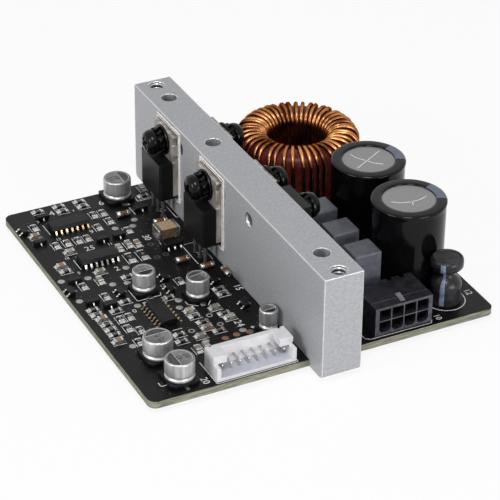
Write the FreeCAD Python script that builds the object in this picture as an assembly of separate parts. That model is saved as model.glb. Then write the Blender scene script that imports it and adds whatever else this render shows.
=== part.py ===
import FreeCAD
import Part
import math
import os

# A small audio amplifier board: a square circuit board, an aluminium heat bar that crosses it,
# five power transistors screwed to the bar, a toroid inductor, capacitors, a choke, two
# connectors and small surface parts. Millimetres, +Z up, +Y to the back.
# X is counted from the middle of the bar and Y from the front edge of the board.

# Circuit board
board_width = 80.0
board_depth = 80.0
board_thickness = 1.6
board_corner_r = 1.8
lead_tail = 1.4
lead_hole_gap = 0.1

# Heat bar, standing on the board with a foot past its front and back edges
bar_width = 9.0
bar_height = 24.0
front_foot = 5.6
back_foot = 6.4
foot_gap = 0.1
foot_corner_r = 1.2
bar_edge_chamfer = 0.25
mount_hole_r = 1.65
mount_hole_depth = 12.0
mount_hole_inset = 2.5
mount_hole_chamfer = 0.35

# Screws that hold the bar from under the board
bar_hole_r = 1.7
bar_hole_front = 4.13
bar_hole_middle = 54.42
bar_hole_back = 2.76
bar_screw_gap = 0.05
bar_screw_reach = 8.0
bar_screw_head_r = 3.0
bar_screw_head_height = 1.65
bar_screw_head_round = 0.5
bar_screw_recess_r = 1.1
bar_screw_recess_depth = 0.9
board_screw_gap = 0.2

# Power transistors: rows along the bar, and what one of them measures
left_rows = (67.3, 45.3)
right_rows = (62.1, 40.8)
full_pack_row = 28.0
fixing_height = 18.1
device_bottom = 5.4
device_top = 21.0
body_height = 9.0
body_width = 10.2
body_depth = 4.5
body_chamfer = 0.45
tab_width = 10.2
tab_thickness = 1.3
tab_notch_depth = 0.5
tab_notch_height = 1.7
tab_hole_r = 1.9
tab_root = 0.6
lead_pitch = 2.54
lead_stand = 2.7
lead_thickness = 0.5
lead_width = 0.8
lead_shoulder_width = 1.3
lead_shoulder_length = 3.4
lead_anchor = 1.2
full_pack_width = 10.0
full_pack_body_depth = 4.6
full_pack_tab_depth = 3.2
full_pack_hole_r = 1.6

# Insulating foil behind each metal tab
foil_thickness = 0.3
foil_width = 11.6
foil_bottom = 4.1
foil_top = 21.8

# Fixing stack on each transistor
fixing_hole_r = 1.25
fixing_screw_gap = 0.05
fixing_screw_reach = 6.5
bush_flange_r = 3.5
bush_flange_thickness = 0.6
bush_collar_length = 1.0
bush_collar_gap = 0.1
bush_bore_gap = 0.25
spring_washer_r = 3.0
spring_washer_bore_gap = 0.35
spring_washer_thickness = 0.8
spring_washer_split = 0.5
spring_washer_count = 2
spring_washer_space = 0.1
spring_washer_first_turn = 40.0
spring_washer_turn = 75.0
screw_head_r = 2.8
screw_head_height = 2.3
screw_head_round = 0.6
screw_recess_length = 3.4
screw_recess_width = 0.7
screw_recess_depth = 1.3

# Toroid inductor
toroid_x = 25.5
toroid_y = 63.3
core_outer_r = 13.2
core_inner_r = 7.4
core_height = 14.0
wire_width = 0.9
turn_corner = 1.3
winding_gap = 0.06
turn_gap = 0.01
tail_angles = (200.0, 236.0)

# Bulk capacitors
bulk_x = (28.72, 29.14)
bulk_y = (18.6, 36.98)
bulk_r = 8.2
bulk_height = 20.15
bulk_rim_r = 0.7
bulk_sleeve = 0.2
bulk_sleeve_lip_r = 5.75
bulk_score_length = 9.6
bulk_score_width = 0.35
bulk_score_depth = 0.15
bulk_score_angles = ((-8.0,), (30.0, 121.0))
bulk_lead_r = 0.4
bulk_lead_pitch = 7.5

# Film capacitors
film_x = 16.6
film_first_y = 16.6
film_pitch = 9.7
film_count = 3
film_width = 6.4
film_depth = 6.0
film_height = 12.0
film_chamfer = 0.45
film_lead_r = 0.3
film_lead_pitch = 5.0

# Choke: a drum core, its winding and a shrunk sleeve
choke_x = 32.1
choke_y = 7.35
drum_r = 3.2
drum_flange = 1.4
drum_height = 10.6
drum_post_r = 1.3
choke_winding_r = 2.95
choke_shoulder = 6.5
choke_waist_r = 2.25
choke_waist = 8.3
choke_sleeve = 0.2
choke_sleeve_lip_r = 2.3
choke_lead_r = 0.35
choke_lead_pitch = 4.0

# Power header: two rows of cells that face the front
power_x = 18.5
power_front = 1.4
power_depth = 9.6
power_side_wall = 0.8
power_back_side = 0.55
power_floor = 0.75
power_columns = 4
power_rows = 2
power_pitch = 3.0
power_cell = 2.6
power_cell_height = 2.45
power_row_pitch = 2.85
power_roof = 0.65
power_cell_depth = 5.0
power_back_wall = 0.8
power_cell_chamfer = 0.6
power_latch_width = 1.3
power_latch_start = 0.7
power_latch_length = 3.5
power_latch_height = 0.55
power_notch_width = 1.3
power_notch_depth = 0.9
power_pin = 0.64
power_pin_inset = 3.2
power_pin_first = 0.5
power_pin_rows = 2.6

# Signal header: a tray with one row of pins that faces the front
signal_x = -15.95
signal_front = 0.8
signal_depth = 6.1
signal_height = 5.0
signal_pins = 8
signal_pitch = 2.0
signal_end = 2.0
signal_wall = 0.9
signal_floor = 0.8
signal_back_wall = 1.3
signal_side_height = 3.2
signal_ear_reach = 2.1
signal_ear_front = 1.7
signal_ear_notch = 0.5
signal_pin = 0.5
signal_pin_height = 2.5
signal_pin_inset = 1.7
signal_tail_gap = 0.8

# Surface mounted electrolytic cans: x, y, radius on the layout grid
can_places = (
    (26.5, 76.5, 3.15),
    (15.89, 38.43, 2.5),
    (25.16, 31.2, 2.5),
    (8.11, 14.31, 3.15),
    (8.79, 5.31, 3.15),
    (33.05, 13.51, 2.0),
)
can_height = 5.4
can_base_height = 0.9
can_base_margin = 0.15
can_base_chamfer = 0.9
can_rim = 0.3
can_groove_height = 1.0
can_groove_half = 0.45
can_groove_depth = 0.3
can_foot_width = 0.7
can_foot_thickness = 0.12
can_foot_reach = 0.8

# Small outline packages with seven gull wing leads on each long side
package_places = ((11.5, 69.7, 0.0), (11.9, 54.0, 0.0), (15.2, 28.0, 90.0))
package_length = 8.65
package_width = 3.9
package_height = 1.45
package_standoff = 0.1
package_bevel = 0.35
package_leads = 7
package_lead_pitch = 1.27
package_lead_width = 0.42
package_lead_thickness = 0.2
package_lead_reach = 1.05
package_lead_foot = 0.6
package_lead_shoulder = 0.3

# Large ceramic capacitor with metal end frames, midway between the left transistors
ceramic_x = -10.6
ceramic_length = 4.6
ceramic_width = 3.6
ceramic_height = 2.3
ceramic_standoff = 0.7
ceramic_frame = 0.3
ceramic_foot = 0.9

# Layout grid of the small parts: one step is one millimetre on the board at its drawn size
grid_steps = 80.0

# Small parts: length, width, height, then their places as x, y, turn on the layout grid
resistor_size = (2.0, 1.25, 0.5)
resistor_places = (
    (7.6, 78.2, 0.0), (12.8, 78.3, 0.0), (12.8, 76.0, 0.0), (17.8, 78.3, 0.0), (17.8, 76.0, 0.0),
    (32.1, 74.4, 0.0), (4.3, 72.2, 90.0), (18.4, 71.6, 90.0), (20.6, 71.6, 90.0), (20.6, 67.7, 90.0),
    (17.2, 66.3, 90.0), (5.8, 63.1, 90.0), (8.4, 63.1, 90.0), (11.0, 63.1, 90.0), (13.2, 63.1, 90.0),
    (22.7, 62.3, 90.0), (3.7, 52.4, 0.0), (4.7, 45.3, 90.0), (14.9, 44.7, 0.0), (7.4, 39.6, 90.0),
    (24.2, 38.4, 90.0), (10.4, 36.0, 0.0), (3.0, 35.9, 0.0), (3.0, 33.8, 0.0), (7.3, 33.6, 0.0),
    (19.4, 33.4, 0.0), (15.3, 33.3, 0.0), (30.5, 31.9, 0.0), (8.8, 30.4, 90.0), (6.7, 30.2, 90.0),
    (30.5, 29.7, 0.0), (3.4, 29.5, 0.0), (3.4, 27.4, 0.0), (6.8, 26.5, 90.0), (3.4, 25.4, 0.0),
    (8.8, 24.8, 90.0), (21.3, 24.5, 0.0), (27.4, 22.9, 0.0), (21.9, 21.8, 0.0), (6.8, 20.9, 90.0),
    (15.5, 19.7, 0.0), (23.6, 17.5, 0.0), (14.9, 17.2, 0.0),
)
large_resistor_size = (3.2, 1.6, 0.6)
large_resistor_places = ((18.4, 51.4, 90.0), (21.4, 51.4, 90.0))
capacitor_size = (2.0, 1.25, 0.9)
capacitor_places = (
    (33.1, 77.6, 90.0), (3.1, 68.5, 0.0), (7.5, 59.2, 0.0), (20.3, 56.6, 90.0), (17.8, 56.0, 90.0),
    (22.2, 56.0, 90.0), (3.5, 54.6, 0.0), (10.3, 48.9, 0.0), (8.8, 45.7, 90.0), (3.3, 31.8, 0.0),
    (21.2, 26.7, 0.0), (26.5, 25.5, 0.0), (3.0, 22.6, 0.0), (27.8, 20.8, 0.0), (21.8, 19.4, 0.0),
    (19.2, 17.1, 0.0), (18.6, 13.4, 90.0), (16.5, 13.0, 90.0),
)
diode_r = 0.7
diode_length = 3.2
diode_places = ((24.4, 68.4, 0.0),)
# the diodes beside the second left transistor, from the bar's middle and that transistor's row
row_diode_places = ((-11.8, -0.1), (-8.1, -4.7))
# the diode that lies along the bar
side_diode_gap = 0.25
side_diode_y = 36.7
transistor_size = (2.9, 1.3, 1.0)
transistor_places = (
    (7.6, 75.2, 0.0), (1.5, 71.6, 90.0), (29.2, 69.3, 0.0), (3.1, 65.6, 0.0), (16.0, 60.8, 0.0),
    (20.0, 60.8, 0.0), (27.9, 52.4, 0.0), (3.9, 47.9, 0.0), (1.4, 44.3, 90.0), (21.8, 41.0, 90.0),
    (10.9, 39.6, 90.0), (4.0, 38.6, 0.0), (21.0, 36.2, 90.0), (6.9, 35.9, 0.0), (31.0, 35.3, 90.0),
    (32.7, 24.0, 90.0),
)

# Flat sides that stand for the round of large turned pieces, small hardware and leads
large_sides = 28
medium_sides = 16
small_sides = 10
lead_sides = 6

# How far a cutter runs past the face that it opens
overcut = 1.0

# Levels and edges that follow from the sizes
board_bottom = max(bar_screw_head_height, lead_tail)
board_top = board_bottom + board_thickness
tail_bottom = board_bottom - lead_tail
bar_length = front_foot + board_depth + back_foot
board_front = -bar_length / 2.0 + front_foot
board_back = board_front + board_depth
bar_top = board_bottom + bar_height
bar_face = bar_width / 2.0
fixing_z = board_top + fixing_height
fixing_screw_r = fixing_hole_r - fixing_screw_gap
bar_screw_r = bar_hole_r - bar_screw_gap
up = FreeCAD.Vector(0.0, 0.0, 1.0)
outward = FreeCAD.Vector(1.0, 0.0, 0.0)
backward = FreeCAD.Vector(0.0, 1.0, 0.0)


def point(x, y, z=0.0):
    # a place counted from the bar's middle, the board's front edge and the board's top
    return FreeCAD.Vector(x, board_front + y, board_top + z)


def grid_point(x, y):
    # a place on the layout grid, counted from the board's front left corner
    across = (x / grid_steps - 0.5) * board_width
    along = y / grid_steps * board_depth
    return point(across, along)


def box(x0, x1, y0, y1, z0, z1):
    return Part.makeBox(x1 - x0, y1 - y0, z1 - z0, FreeCAD.Vector(x0, y0, z0))


def box_at(place, length, width, z0, z1):
    low = place + FreeCAD.Vector(-length / 2.0, -width / 2.0, z0)
    return Part.makeBox(length, width, z1 - z0, low)


def turned(points, place, sides, axis=up, start=outward):
    # a closed outline of radius and height, carried round an axis in flat sided steps
    across = axis.cross(start)
    count = len(points)

    def corner(index, step):
        radius, height = points[index % count]
        angle = 2.0 * math.pi * (step % sides) / sides
        spoke = start * (radius * math.cos(angle)) + across * (radius * math.sin(angle))
        return place + axis * height + spoke

    faces = []
    for step in range(sides):
        for index in range(count):
            near = points[index][0]
            far = points[(index + 1) % count][0]
            if near == 0.0 and far == 0.0:
                continue
            ring = [corner(index, step), corner(index + 1, step)]
            if far > 0.0:
                ring.append(corner(index + 1, step + 1))
            if near > 0.0:
                ring.append(corner(index, step + 1))
            faces.append(Part.Face(Part.makePolygon(ring + ring[:1])))
    solid = Part.Solid(Part.Shell(faces))
    if solid.Volume < 0.0:
        solid.reverse()
    return solid


def lead_pin(place, radius, z0, z1):
    return turned([(0.0, z0), (radius, z0), (radius, z1), (0.0, z1)], place, lead_sides)


def disc_along_x(x0, x1, y, z, radius):
    # a small flat sided disc or passage across the bar
    outline = [(0.0, x0), (radius, x0), (radius, x1), (0.0, x1)]
    return turned(outline, FreeCAD.Vector(0.0, y, z), small_sides, outward, backward)


def ring_along_x(x0, x1, y, z, outer_r, inner_r):
    outline = [(inner_r, x0), (outer_r, x0), (outer_r, x1), (inner_r, x1)]
    return turned(outline, FreeCAD.Vector(0.0, y, z), small_sides, outward, backward)


def rod(place, radius, z0, z1):
    return Part.makeCylinder(radius, z1 - z0, place + up * z0)


def extruded(points, start, depth, plane="xz"):
    # a closed outline in a plane, pushed along the third axis
    if plane == "xz":
        corners = [FreeCAD.Vector(a, start, b) for a, b in points]
        push = FreeCAD.Vector(0.0, depth, 0.0)
    elif plane == "yz":
        corners = [FreeCAD.Vector(start, a, b) for a, b in points]
        push = FreeCAD.Vector(depth, 0.0, 0.0)
    else:
        corners = [FreeCAD.Vector(a, b, start) for a, b in points]
        push = FreeCAD.Vector(0.0, 0.0, depth)
    return Part.Face(Part.makePolygon(corners + corners[:1])).extrude(push)


def spun(shape, centre, degrees):
    copy = shape.copy()
    copy.rotate(centre, up, degrees)
    return copy


def cut_all(shape, cutters):
    return shape.cut(Part.makeCompound(cutters)) if cutters else shape


def edges_along(shape, axis, test=lambda edge: True):
    chosen = []
    for edge in shape.Edges:
        if len(edge.Vertexes) == 2:
            run = edge.Vertexes[1].Point - edge.Vertexes[0].Point
            if run.Length > 0 and abs(run.dot(axis)) > 0.999 * run.Length and test(edge):
                chosen.append(edge)
    return chosen


def save(name, solids):
    shape = solids[0] if len(solids) == 1 else Part.makeCompound(solids)
    shape.exportStep("parts/" + name + ".step")


board_cutters = []


def through_lead(place, half_size):
    # a lead's plated hole through the board, wide enough between its flat sides
    reach = (half_size + lead_hole_gap) / math.cos(math.pi / lead_sides)
    level = FreeCAD.Vector(place.x, place.y, 0.0)
    board_cutters.append(lead_pin(level, reach, board_bottom - overcut, board_top + overcut))


# Heat bar
def make_bar():
    low = board_bottom
    bar = box(-bar_face, bar_face, -bar_length / 2.0, bar_length / 2.0, low, bar_top)
    notch = box(
        -bar_width, bar_width,
        board_front - foot_gap, board_back + foot_gap,
        low - overcut, board_top,
    )
    bar = bar.cut(notch)
    end = bar_length / 2.0 - 1e-3
    corners = edges_along(
        bar, FreeCAD.Vector(1.0, 0.0, 0.0),
        lambda e: abs(e.CenterOfMass.y) > end and e.CenterOfMass.z < board_top,
    )
    bar = bar.makeFillet(min(foot_corner_r, 0.9 * board_thickness), corners)
    rim = [
        e for e in bar.Edges
        if e.BoundBox.ZMin > bar_top - 1e-3
    ]
    bar = bar.makeChamfer(bar_edge_chamfer, rim)
    cutters = []
    for y in (board_front - front_foot + mount_hole_inset, board_back + back_foot - mount_hole_inset):
        place = FreeCAD.Vector(0.0, y, 0.0)
        cutters.append(rod(place, mount_hole_r, bar_top - mount_hole_depth, bar_top + overcut))
        cutters.append(mouth(place, mount_hole_r, mount_hole_chamfer))
    for place in bar_screw_places():
        # the hole's radius is measured to its flats, so that the screw keeps its room
        reach = bar_hole_r / math.cos(math.pi / medium_sides)
        outline = [(0.0, 0.0), (reach, 0.0), (reach, bar_top + overcut), (0.0, bar_top + overcut)]
        cutters.append(turned(outline, place, medium_sides))
    for y in left_rows + right_rows + (full_pack_row,):
        centre = point(0.0, y, fixing_height)
        cutters.append(disc_along_x(-bar_width, bar_width, centre.y, centre.z, fixing_hole_r))
    return cut_all(bar, cutters)


def mouth(place, radius, chamfer):
    wide = radius + 2.0 * chamfer
    return Part.makeCone(radius, wide, 2.0 * chamfer, place + up * (bar_top - chamfer))


def bar_screw_places():
    rows = (bar_hole_front, bar_hole_middle, board_depth - bar_hole_back)
    return [FreeCAD.Vector(0.0, board_front + y, 0.0) for y in rows]


def bar_screw(place):
    head_top = board_bottom
    head_low = board_bottom - bar_screw_head_height
    outline = [
        (0.0, head_low),
        (bar_screw_head_r - bar_screw_head_round, head_low),
        (bar_screw_head_r, head_low + bar_screw_head_round),
        (bar_screw_head_r, head_top),
        (bar_screw_r, head_top),
        (bar_screw_r, board_top + bar_screw_reach),
        (0.0, board_top + bar_screw_reach),
    ]
    recess = lead_pin(place, bar_screw_recess_r, head_low - overcut, head_low + bar_screw_recess_depth)
    return turned(outline, place, small_sides).cut(recess)


# Power transistors, drawn on the right face of the bar and turned round for the left one
def lead_blade(y, x_middle, from_z):
    half = lead_thickness / 2.0
    shoulder = board_top + device_bottom - lead_shoulder_length
    wide = lead_shoulder_width / 2.0
    narrow = lead_width / 2.0
    outline = [
        (y - narrow, tail_bottom),
        (y + narrow, tail_bottom),
        (y + narrow, shoulder),
        (y + wide, shoulder + wide - narrow),
        (y + wide, from_z),
        (y - wide, from_z),
        (y - wide, shoulder + wide - narrow),
        (y - narrow, shoulder),
    ]
    return extruded(outline, x_middle - half, lead_thickness, "yz")


def tab_frame(base, y):
    low = board_top + device_bottom + tab_root
    high = board_top + device_top
    tab = box(base, base + tab_thickness, y - tab_width / 2.0, y + tab_width / 2.0, low, high)
    cutters = [disc_along_x(base - overcut, base + tab_thickness + overcut, y, fixing_z, tab_hole_r)]
    body_top = board_top + device_bottom + body_height
    upper_notch = (fixing_z + high - tab_notch_height) / 2.0
    for side in (-1.0, 1.0):
        edge = y + side * tab_width / 2.0
        for notch_low in (body_top, upper_notch):
            cutters.append(box(
                base - overcut, base + tab_thickness + overcut,
                edge - tab_notch_depth, edge + tab_notch_depth,
                notch_low, notch_low + tab_notch_height,
            ))
    tab = cut_all(tab, cutters)
    anchor = board_top + device_bottom + tab_root + lead_anchor
    blade = lead_blade(y, base + lead_stand, anchor)
    bridge = box(
        base + tab_thickness / 2.0, base + lead_stand + lead_thickness / 2.0,
        y - lead_shoulder_width / 2.0, y + lead_shoulder_width / 2.0,
        low, anchor,
    )
    frame = tab.fuse([blade, bridge]).removeSplitter()
    return [frame] + [lead_blade(y + side * lead_pitch, base + lead_stand, anchor) for side in (-1.0, 1.0)]


def moulded_body(base, y):
    low = board_top + device_bottom
    half = body_width / 2.0
    outline = [
        (base, y - half),
        (base + body_depth - body_chamfer, y - half),
        (base + body_depth, y - half + body_chamfer),
        (base + body_depth, y + half - body_chamfer),
        (base + body_depth - body_chamfer, y + half),
        (base, y + half),
    ]
    return extruded(outline, low, body_height, "xy")


def full_pack_body(base, y):
    low = board_top + device_bottom
    high = board_top + device_top
    step = low + body_height
    outline = [
        (base, low),
        (base + full_pack_body_depth, low),
        (base + full_pack_body_depth, step - body_chamfer),
        (base + full_pack_body_depth - body_chamfer, step),
        (base + full_pack_tab_depth, step),
        (base + full_pack_tab_depth, high),
        (base, high),
    ]
    block = extruded(outline, y - full_pack_width / 2.0, full_pack_width)
    behind = base - overcut
    before = base + full_pack_tab_depth + overcut
    return block.cut(disc_along_x(behind, before, y, fixing_z, full_pack_hole_r))


def foil_sheet(y):
    sheet = box(
        bar_face, bar_face + foil_thickness,
        y - foil_width / 2.0, y + foil_width / 2.0,
        board_top + foil_bottom, board_top + foil_top,
    )
    return sheet.cut(disc_along_x(0.0, 2.0 * bar_width, y, fixing_z, fixing_screw_r + bush_bore_gap))


def shoulder_bush(seat, y):
    bore = fixing_screw_r + bush_bore_gap
    collar = tab_hole_r - bush_collar_gap
    outline = [
        (bore, seat - bush_collar_length), (collar, seat - bush_collar_length), (collar, seat),
        (bush_flange_r, seat), (bush_flange_r, seat + bush_flange_thickness),
        (bore, seat + bush_flange_thickness),
    ]
    return turned(outline, FreeCAD.Vector(0.0, y, fixing_z), small_sides, outward, backward)


def spring_washer(seat, y, twist):
    ring = ring_along_x(
        seat, seat + spring_washer_thickness, y, fixing_z,
        spring_washer_r, fixing_screw_r + spring_washer_bore_gap,
    )
    slot = box(
        seat - overcut, seat + spring_washer_thickness + overcut,
        y - spring_washer_split / 2.0, y + spring_washer_split / 2.0,
        fixing_z, fixing_z + 2.0 * spring_washer_r,
    )
    slot.rotate(FreeCAD.Vector(seat, y, fixing_z), FreeCAD.Vector(1.0, 0.0, 0.0), twist)
    return ring.cut(slot)


def pan_screw(seat, y):
    # the shank reaches a set length into the bar from its face
    outline = [
        (0.0, bar_face - fixing_screw_reach),
        (fixing_screw_r, bar_face - fixing_screw_reach),
        (fixing_screw_r, seat),
        (screw_head_r, seat),
        (screw_head_r, seat + screw_head_height - screw_head_round),
        (screw_head_r - screw_head_round, seat + screw_head_height),
        (0.0, seat + screw_head_height),
    ]
    screw = turned(outline, FreeCAD.Vector(0.0, y, fixing_z), small_sides, outward, backward)
    top = seat + screw_head_height
    half_long = screw_recess_length / 2.0
    half_wide = screw_recess_width / 2.0
    upright = box(
        top - screw_recess_depth, top + overcut,
        y - half_wide, y + half_wide,
        fixing_z - half_long, fixing_z + half_long,
    )
    level = box(
        top - screw_recess_depth, top + overcut,
        y - half_long, y + half_long,
        fixing_z - half_wide, fixing_z + half_wide,
    )
    return screw.cut(upright.fuse(level))


def make_transistors():
    screws = []
    bushes = []
    washers = []
    places = [(y, True, -1) for y in left_rows] + [(y, True, 1) for y in right_rows]
    places.append((full_pack_row, False, 1))
    middle = FreeCAD.Vector(0.0, 0.0, 0.0)
    for number, (row, metal_tab, side) in enumerate(places, 1):
        y = board_front + row
        # a left one is drawn mirrored in Y, because half a turn about Z brings it back to its row
        y_drawn = y * side
        base = bar_face + (foil_thickness if metal_tab else 0.0)
        if metal_tab:
            frame = tab_frame(base, y_drawn)
            body = moulded_body(base, y_drawn)
            seat = base + tab_thickness
            bushes.append((shoulder_bush(seat, y_drawn), side))
            seat += bush_flange_thickness
        else:
            anchor = board_top + device_bottom + lead_anchor
            frame = [lead_blade(y_drawn + n * lead_pitch, base + lead_stand, anchor) for n in (-1, 0, 1)]
            body = full_pack_body(base, y_drawn)
            seat = base + full_pack_tab_depth
        body = cut_all(body, frame)
        for turn in range(spring_washer_count):
            twist = spring_washer_first_turn + spring_washer_turn * turn
            washers.append((spring_washer(seat, y_drawn, twist), side))
            seat += spring_washer_thickness + spring_washer_space
        seat -= spring_washer_space
        screws.append((pan_screw(seat, y_drawn), side))
        half_turn = 180.0 if side < 0 else 0.0
        name = "transistor_" + str(number)
        save(name + "_body", [spun(body, middle, half_turn)])
        save(name + "_leadframe", [spun(s, middle, half_turn) for s in frame])
        if metal_tab:
            save("insulating_foil_" + str(number), [spun(foil_sheet(y_drawn), middle, half_turn)])
        for n in (-1, 0, 1):
            place = FreeCAD.Vector(side * (base + lead_stand), y + n * lead_pitch, 0.0)
            through_lead(place, math.hypot(lead_width, lead_thickness) / 2.0)
    save("fixing_screws", [spun(s, middle, 180.0 if side < 0 else 0.0) for s, side in screws])
    save("insulating_bushes", [spun(s, middle, 180.0 if side < 0 else 0.0) for s, side in bushes])
    save("spring_washers", [spun(s, middle, 180.0 if side < 0 else 0.0) for s, side in washers])


# Toroid inductor
def make_toroid():
    centre = point(toroid_x, toroid_y)
    low = wire_width + winding_gap
    high = low + core_height
    core = turned(
        [(core_inner_r, low), (core_outer_r, low), (core_outer_r, high), (core_inner_r, high)],
        centre, large_sides,
    )
    # each turn is a flat sided loop of wire round the core's section, with cut outer corners
    window_in = core_inner_r - winding_gap
    window_out = core_outer_r + winding_gap
    window_top = high + winding_gap
    section = [
        (window_in, wire_width), (window_out, wire_width),
        (window_out, window_top), (window_in, window_top),
    ]
    hole_r = window_in - wire_width
    rim_r = window_out + wire_width
    top = window_top + wire_width
    c = turn_corner
    loop_outline = [
        (hole_r + c, 0.0), (rim_r - c, 0.0), (rim_r, c), (rim_r, top - c),
        (rim_r - c, top), (hole_r + c, top), (hole_r, top - c), (hole_r, c),
    ]
    half = wire_width / 2.0
    outside = Part.makePolygon([FreeCAD.Vector(r, -half, z) for r, z in loop_outline + loop_outline[:1]])
    inside = Part.makePolygon([FreeCAD.Vector(r, -half, z) for r, z in section + section[:1]])
    loop = Part.Face(outside).cut(Part.Face(inside)).extrude(backward * wire_width).Solids[0]
    loop.translate(centre)
    turns = int(math.pi / math.asin((half + turn_gap) / hole_r))
    coil = [spun(loop, centre, 360.0 * turn / turns) for turn in range(turns)]
    for angle in tail_angles:
        # each tail drops from the turn nearest to its angle
        step = round(angle / 360.0 * turns) * 2.0 * math.pi / turns
        reach = rim_r - c - half
        place = centre + FreeCAD.Vector(reach * math.cos(step), reach * math.sin(step), 0.0)
        coil.append(lead_pin(place, half, tail_bottom - board_top, 0.0))
        through_lead(place, half)
    save("toroid_core", [core])
    save("toroid_winding", coil)


# Bulk capacitors
def make_bulk_capacitors():
    skin = bulk_sleeve
    top = bulk_height
    rim = bulk_rim_r
    can_r = bulk_r - skin
    bend = rim * (1.0 - math.sqrt(0.5))
    outside = [
        (bulk_r, 0.0), (bulk_r, top - rim), (bulk_r - bend, top - bend),
        (bulk_r - rim, top), (bulk_sleeve_lip_r, top),
    ]
    seam = [(can_r, 0.0), (can_r, top - rim - skin), (bulk_r - rim - skin, top - skin)]
    lip = [(bulk_sleeve_lip_r, top - skin)]
    sleeve_outline = outside + lip + seam[::-1]
    can_outline = [(0.0, 0.0)] + seam + [(0.0, top - skin)]
    for number, (x, y, angles) in enumerate(zip(bulk_x, bulk_y, bulk_score_angles), 1):
        centre = point(x, y)
        can = turned(can_outline, centre, large_sides)
        score = box_at(
            centre, bulk_score_length, bulk_score_width,
            top - skin - bulk_score_depth, top + overcut,
        )
        for angle in angles:
            can = can.cut(spun(score, centre, angle))
        name = "bulk_capacitor_" + str(number)
        save(name + "_can", [can])
        save(name + "_sleeve", [turned(sleeve_outline, centre, large_sides)])
        leads = []
        for side in (-0.5, 0.5):
            place = centre + FreeCAD.Vector(0.0, side * bulk_lead_pitch, 0.0)
            leads.append(lead_pin(place, bulk_lead_r, tail_bottom - board_top, 0.0))
            through_lead(place, bulk_lead_r)
        save(name + "_leads", leads)


# Film capacitors
def make_film_capacitors():
    leads = []
    for number in range(film_count):
        centre = point(film_x, film_first_y + film_pitch * number)
        block = box_at(centre, film_width, film_depth, 0.0, film_height)
        save("film_capacitor_" + str(number + 1), [block.makeChamfer(film_chamfer, block.Edges)])
        for side in (-0.5, 0.5):
            place = centre + FreeCAD.Vector(side * film_lead_pitch, 0.0, 0.0)
            leads.append(lead_pin(place, film_lead_r, tail_bottom - board_top, 0.0))
            through_lead(place, film_lead_r)
    save("film_capacitor_leads", leads)


# Choke
def make_choke():
    centre = point(choke_x, choke_y)
    top = drum_height
    upper = top - drum_flange
    core = turned([
        (0.0, 0.0), (drum_r, 0.0), (drum_r, drum_flange), (drum_post_r, drum_flange),
        (drum_post_r, upper), (drum_r, upper), (drum_r, top), (0.0, top),
    ], centre, medium_sides)
    seam = [
        (drum_r, drum_flange), (choke_winding_r, choke_shoulder),
        (choke_waist_r, choke_waist), (choke_waist_r, upper),
    ]
    winding = turned([(drum_post_r, drum_flange)] + seam + [(drum_post_r, upper)], centre, medium_sides)
    s = choke_sleeve
    inner = [(drum_r, 0.0)] + seam + [(drum_r, upper), (drum_r, top), (choke_sleeve_lip_r, top)]
    outer = [
        (drum_r + s, 0.0), (drum_r + s, drum_flange), (choke_winding_r + s, choke_shoulder),
        (choke_waist_r + s, choke_waist), (choke_waist_r + s, upper - s),
        (drum_r + s, upper - s), (drum_r + s, top - s), (drum_r - s, top + s),
        (choke_sleeve_lip_r, top + s),
    ]
    save("choke_core", [core])
    leads = []
    for side in (-0.5, 0.5):
        place = centre + FreeCAD.Vector(side * choke_lead_pitch, 0.0, 0.0)
        leads.append(lead_pin(place, choke_lead_r, tail_bottom - board_top, 0.0))
        through_lead(place, choke_lead_r)
    save("choke_winding", [winding])
    save("choke_leads", leads)
    save("choke_sleeve", [turned(inner + outer[::-1], centre, medium_sides)])


# Power header
def make_power_header():
    length = power_columns * power_pitch + 2.0 * power_side_wall
    height = power_floor + (power_rows - 1) * power_row_pitch + power_cell_height + power_roof
    corner = point(power_x - length / 2.0, power_front)
    housing = Part.makeBox(length, power_depth, height, corner)
    cutters = []
    pins = []
    columns = [power_x + (n - (power_columns - 1) / 2.0) * power_pitch for n in range(power_columns)]
    for row in range(power_rows):
        low = power_floor + row * power_row_pitch
        high = low + power_cell_height
        for x in columns:
            half = power_cell / 2.0
            c = power_cell_chamfer if row == 0 else 0.0
            outline = [(x - half, low + c), (x - half, high), (x + half, high), (x + half, low + c)]
            if c:
                outline += [(x + half - c, low), (x - half + c, low)]
            level = [(a, board_top + b) for a, b in outline]
            start = board_front + power_front - overcut
            cutters.append(extruded(level, start, power_cell_depth + overcut))
            pins.append(power_pin_shape(x, (low + high) / 2.0, row))
    behind = power_cell_depth + power_back_wall
    cutters.append(box(
        corner.x + power_back_side, corner.x + length - power_back_side,
        corner.y + behind, corner.y + power_depth + overcut,
        board_top - overcut, board_top + height - power_roof,
    ))
    for x in columns:
        cutters.append(box(
            x - power_notch_width / 2.0, x + power_notch_width / 2.0,
            corner.y + power_depth - power_notch_depth, corner.y + power_depth + overcut,
            board_top, board_top + height + overcut,
        ))
    ramp_low = board_front + power_front + power_latch_start
    ramp = extruded([
        (ramp_low, board_top + height), (ramp_low + power_latch_length, board_top + height),
        (ramp_low + power_latch_length, board_top + height + power_latch_height),
    ], power_x - power_latch_width / 2.0, power_latch_width, "yz")
    housing = cut_all(housing, cutters + pins).fuse(ramp).removeSplitter()
    save("power_header_housing", [housing])
    save("power_header_pins", pins)


def power_pin_shape(x, z, row):
    half = power_pin / 2.0
    tip = board_front + power_front + power_pin_inset
    first = power_front + power_cell_depth + power_back_wall + power_pin_first
    drop = board_front + first + row * power_pin_rows + half
    level = board_top + z
    through_lead(FreeCAD.Vector(x, drop, 0.0), math.hypot(half, half))
    return extruded([
        (tip, level - half), (drop - half, level - half), (drop - half, tail_bottom),
        (drop + half, tail_bottom), (drop + half, level + half), (tip, level + half),
    ], x - half, power_pin, "yz")


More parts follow.
